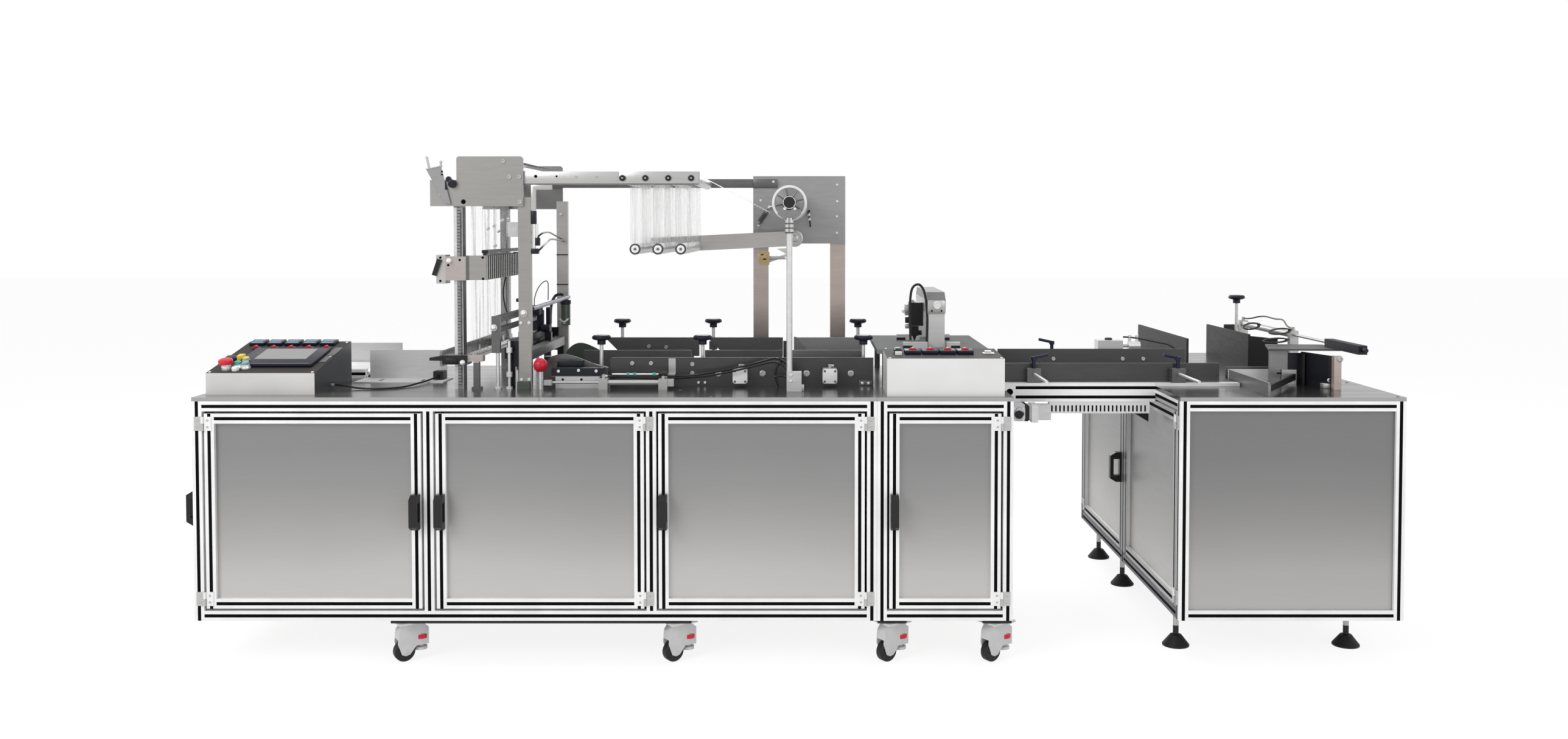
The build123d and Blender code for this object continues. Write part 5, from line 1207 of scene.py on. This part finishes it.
def guidePieces():
    addTurned("guideBolts", "silver", [
        (6.8, 0), (6.8, 3.4), (5.9, 4.2), (3.4, 4.2), (3.0, 1.4),
    ], 22, {
        287: [(1285.5, 885), (1346.1, 885), (1479.4, 882), (1479.3, 853.1)], 772: [(1279, 895), (1341, 892)],
    })
    addTurned("guideBosses", "silver", [
        (10, 0), (10, 3), (8.6, 3.8), (6.4, 3.8), (6, 1), (3, 1), (2.6, 2.6),
    ], 28, [(x, 287, 851.9, "-y") for x in (1563.4, 1705.8, 1847.6, 1990)])
    addTurned("guidePins", "bright", [
        (4.4, 0), (4.4, 5), (3.4, 6),
    ], 16, {287: [(1499.1, 822.9), (1520.1, 822.9)]})
    covers, screws = [], []
    for x in (1635.0, 1922.0):
        z, half, notch = 847.5, 23.5, 7.0
        outline = [
            (x - half + notch, z - half), (x + half - notch, z - half), (x + half, z - half + notch),
            (x + half, z + half - notch), (x + half - notch, z + half), (x - half + notch, z + half),
            (x - half, z + half - notch), (x - half, z - half + notch),
        ]
        covers.append(newPlate("cylinderCover", outline, 243.2, 247.4, 0.8))
        screws += [(x + a, 243.2, z + b, "-y") for a in (-16.5, 16.5) for b in (-16.5, 16.5)]
    fit(joined("cylinderCovers", covers), "pale")
    addTurned("coverScrews", "low", [
        (3.7, 0), (3.7, 0.6), (3.1, 1.0), (1.7, 1.0), (1.5, 0.3),
    ], 16, screws)
    addBlocks("upperSlide", "deepSteel", [((1048, 262, 873.6), (1129, 286, 897))], rounding=1.5)
    edge = [
        (996.5, 904.6), (1055, 905.7), (1114, 889.8), (1202, 868), (1202, 865.4), (1114, 887), (1055, 902.8),
        (996.5, 902),
    ]
    addPlate("plowEdge", "bright", edge, 328, 331)
    addPlate("rearGuideCorner", "grey_plastic", [
        (1800.5, 861.5), (1869, 861.5), (1808, 929.5), (1800.5, 929.5),
    ], 770, 776)
    addBlocks("middleGuideEnd", "dull", [((1796, 540, 812), (2040, 552, 903))], rounding=0.8)
    tops = [(x, y, z, "+z") for x in (1180, 1509, 2032) for y, z in ((330, 972), (802, 992))]
    addTurned("knobCaps", "bezel", [
        (13.4, -30), (13.4, -17), (22, -15), (30.2, -11.4), (31, -6.5), (28, -1.8), (18, 0.6), (6, 1.2),
    ], 40, tops + [(3500.5, 1100, 1062, "+z")])
    addBlocks("rearPost", "black_metal", [((1767, 541, 812), (1779, 553, 935))], rounding=0.8)
    addBlocks("guideEndBracket", "low", [
        ((2016.5, 283, 812), (2058, 287, 829)), ((2016.5, 283, 812), (2058, 312, 815)),
    ], rounding=0.8)
    addTurned("guideEndScrews", "bright", [
        (4.2, 0), (4.2, 2.2), (2.6, 3),
    ], 16, {283: [(2027, 821), (2047, 821)]})
    addRods("sensorTube", "bright", [(2.8, (1234, 200, 859.5), (1381, 200, 859.5))], 16)
    collars = [(4.6, (a, 200, 859.5), (b, 200, 859.5)) for a, b in ((1280, 1288), (1300, 1310), (1362, 1372))]
    addRods("sensorCollars", "teal", collars, 20)
    addRods("sensorHead", "black_plastic", [(7.5, (1381, 200, 859.5), (1409, 200, 859.5))], 20)
    # painted shade: black discs stand for the dark insides of the bracket's holes
    addTurned("bracketHoles", "seam", [
        (4.2, 0), (4.2, 0.4), (3.5, 0.7),
    ], 16, {239.5: [(1414.5, 826.0), (1414.5, 843.0)]})


def stationPieces():
    face = 393.6  # the arch's front
    addTurned("dialRing", "bright", [
        (13.4, 0), (13.4, 5), (12, 6.4), (9.6, 6.4), (9.2, 3.6), (3.4, 3.6), (3.0, 5.2),
    ], 32, {face: [(2277.8, 1065.3)]})
    # painted shade: black discs stand for the dark insides of the arch's holes
    addTurned("archHoles", "seam", [
        (3.3, 0), (3.3, 0.4), (2.8, 0.7),
    ], 16, {face: [(2260.9, 1047), (2292.5, 1047)]})
    loop = [
        (2191, 400, 950), (2189, 400, 1010), (2189, 402, 1085), (2196, 404, 1128), (2222, 404, 1138),
        (2240, 404, 1106), (2247, 402, 1040), (2246, 400, 975), (2243.4, 400, 919),
    ]
    fit(newWire("stationConduit", loop, 4.2), "black_rubber")
    addRods("applicatorFittings", "bright", [
        (6, (2181.4, 583, 1033), (2181.4, 600, 1033)), (6, (2196.3, 583, 1051.8), (2196.3, 600, 1051.8)),
        (6, (2218.8, 583, 1063.1), (2218.8, 600, 1063.1)), (5, (2226.6, 583, 965.3), (2226.6, 600, 965.3)),
    ], 16)
    bits = [
        ((2184, 572, 1030), (2201, 588, 1055)), ((2186, 570, 975), (2200, 586, 990)),
        ((2203, 574, 1064), (2216, 588, 1074)),
    ]
    addBlocks("applicatorBits", "silver", bits, rounding=1.5)
    darks = [((2186, 568, 994), (2200, 584, 1014)), ((2228, 600, 950), (2246, 612, 966))]
    addBlocks("applicatorDarks", "black_plastic", darks, rounding=1.5)
    addBlocks("archCap", "silver", [((2247, face, 1039), (2303, 396, 1081.6))], rounding=1.0)


def conveyorPieces():
    addTurned("conveyorBolts", "bright", [
        (6.4, 0), (6.4, 3.2), (5.6, 4.0), (3.2, 4.0), (2.8, 1.4),
    ], 20, [(x, 622, 865.3, "-y") for x in (2706.4, 2947.3, 3019)])
    # painted shade: thin black blocks stand for the dark insides of the duct's slots
    slots = [((2635 + 13.04 * n, 278.6, 730), (2640 + 13.04 * n, 279.2, 750)) for n in range(24)]
    addBlocks("ductSlots", "seam", slots, smooth=0)
    # painted shade: a black disc stands for the dark inside of the end plate's bore
    addTurned("endPlateBore", "seam", [
        (10.5, 0), (10.5, 1.2), (9.2, 1.8), (8.2, 0.6),
    ], 28, {277: [(2501.1, 793.4)]})
    addTurned("gearCap", "deepSteel", [
        (13.4, 0), (13.4, 1.6), (11.8, 2.4), (9, 2.4), (8.6, 1), (2.6, 1),
    ], 28, {192: [(2517.8, 732.4)]})
    addTurned(
        "gearScrews", "bright", [(3.8, 0), (3.8, 2.6), (3.0, 3.4), (1.8, 3.4), (1.6, 1.2)], 16,
        {192: [(2502, 716), (2502, 751), (2530, 716), (2530, 751)]},
    )
    addTurned("driveKnob", "black_plastic", [
        (13, 0), (13, 5), (11.5, 7.5), (6, 8),
    ], 28, [(2912, 686, 926, "+z")], rounding=0.6)
    addTurned(
        "driveFittings", "bright",
        [(6, 0), (6, 8), (4.6, 9), (4.6, 16), (6.4, 17), (6.4, 24), (4, 26)], 18,
        [(2988, 692, 918, "+z"), (3014, 692, 918, "+z")],
    )


def infeedPieces():
    addBlocks("cylinderClevis", "silver", [((3484, 212, 812), (3519, 240, 827))], rounding=1.5)
    addTurned("clevisBolt", "bright", [
        (6.2, 0), (6.2, 3.4), (5.2, 4.2), (3.0, 4.2), (2.6, 1.6),
    ], 20, {219: [(3504.7, 838)]})
    addTurned("postRing", "silver", [
        (9, 0), (9, 2.4), (7.8, 3.2), (5.4, 3.2), (5.0, 1), (2.4, 1),
    ], 24, {186: [(3525.0, 908.0)]})
    # painted shade: thin black blocks stand for the dark insides of the adjusting slots
    slots = [((3386, 349.6, 843), (3400, 350, 848)), ((3404, 349.6, 834), (3418, 350, 839))]
    addBlocks("adjustingSlots", "seam", slots, smooth=0)
    spots = (
        (3215, 15), (3422, 15), (3630, 15), (3624, 370), (1560, 15), (1984, 15), (1451, 175), (1076, 183),
        (2210, 300),
    )
    addTurned("tableScrews", "low", [
        (5.2, 0), (5.2, 0.5), (4.4, 0.9), (2.6, 0.9), (2.4, 0.3),
    ], 18, [(x, y, machine["tableTop"], "+z") for x, y in spots])


def casterPieces():
    # red levelling wheel beside each caster wheel, with notches round its rim
    turn, reach = math.radians(35), 33
    spots = [(x, y) for x in (634.0, 1455.0, 2106.5, 2424.5) for y in (50.0, 850.0)]
    centres = [(x + reach * math.cos(turn), y + reach * math.sin(turn)) for x, y in spots]
    addTurned("casterAdjusters", "red", [
        (21, 63), (24.5, 65), (24.5, 77), (21, 79), (12, 79),
    ], 14, [(x, y, 0, "+z") for x, y in centres], rounding=0.8)
    addTurned("adjusterNuts", "steel", [
        (9, 78), (9, 86), (6, 87), (6, 96),
    ], 6, [(x, y, 0, "+z") for x, y in centres])


guidePieces()
stationPieces()
conveyorPieces()
infeedPieces()
casterPieces()
print("guides, station, conveyor, infeed and casters")


# the room in metres: its floor, how bright floor and sky look and what the sky gives, and its lamps
room = {
    "floor": 60, "under": 0.0005, "glow": 1.12, "glowing": 0.75, "given": 0.55, "shown": 1.0, "aim": (0, 0, 0.7),
    "lamps": (
        ("keyLamp", (-4.2, -5.0, 4.2), 3.0, 190.0), ("fillLamp", (4.0, -5.0, 3.0), 3.0, 60.0),
        ("topLamp", (0.0, 0.5, 5.0), 4.0, 80.0), ("backLamp", (0.0, 5.5, 3.5), 3.0, 90.0),
    ),
}


def layFloor():
    bpy.ops.mesh.primitive_plane_add(size=room["floor"], location=(0, 0, -room["under"]))
    floor = bpy.context.object
    floor.name = "floor"
    ground = Finish("paleFloor", Base_Color=grey(0.9), Roughness=0.8)
    watched = ground.add("ShaderNodeLightPath")
    mirrored = ground.add("ShaderNodeLightPath", out=3)
    seen = ground.add("ShaderNodeMath", {"operation": "MAXIMUM"}, {0: watched, 1: mirrored})
    glow = ground.add("ShaderNodeEmission", {}, {0: grey(1.0), 1: room["glow"]})
    plain = Wire(ground, ground.shader.outputs[0])
    blend = ground.add("ShaderNodeMixShader", {}, {0: seen * room["glowing"], 1: plain, 2: glow})
    ground.feed(ground.tree.nodes["Material Output"], {0: blend})
    floor.data.materials.append(ground.material)


def lightRoom():
    world = bpy.data.worlds.new("studio")
    bpy.context.scene.world = world
    world.use_nodes = True
    sky = Nodes(world.node_tree)
    rays = [sky.add("ShaderNodeLightPath", out=number) for number in (0, 3, 6)]
    either = sky.add("ShaderNodeMath", {"operation": "MAXIMUM"}, {0: rays[0], 1: rays[1]})
    seen = sky.add("ShaderNodeMath", {"operation": "MAXIMUM"}, {0: either, 1: rays[2]})
    plain = sky.add("ShaderNodeBackground", {}, {0: grey(1.0), 1: room["given"]})
    shown = sky.add("ShaderNodeBackground", {}, {0: grey(1.0), 1: room["shown"]})
    blend = sky.add("ShaderNodeMixShader", {}, {0: seen, 1: plain, 2: shown})
    sky.feed(world.node_tree.nodes["World Output"], {0: blend})
    for name, place, size, power in room["lamps"]:
        lamp = bpy.data.lights.new(name, "AREA")
        lamp.size = size
        lamp.energy = power
        holder = bpy.data.objects.new(name, lamp)
        bpy.context.scene.collection.objects.link(holder)
        holder.location = place
        toward = Vector(room["aim"]) - Vector(place)
        holder.rotation_euler = toward.to_track_quat("-Z", "Y").to_euler()


layFloor()
lightRoom()
bpy.context.scene.view_settings.view_transform = "Standard"
print("surroundings")
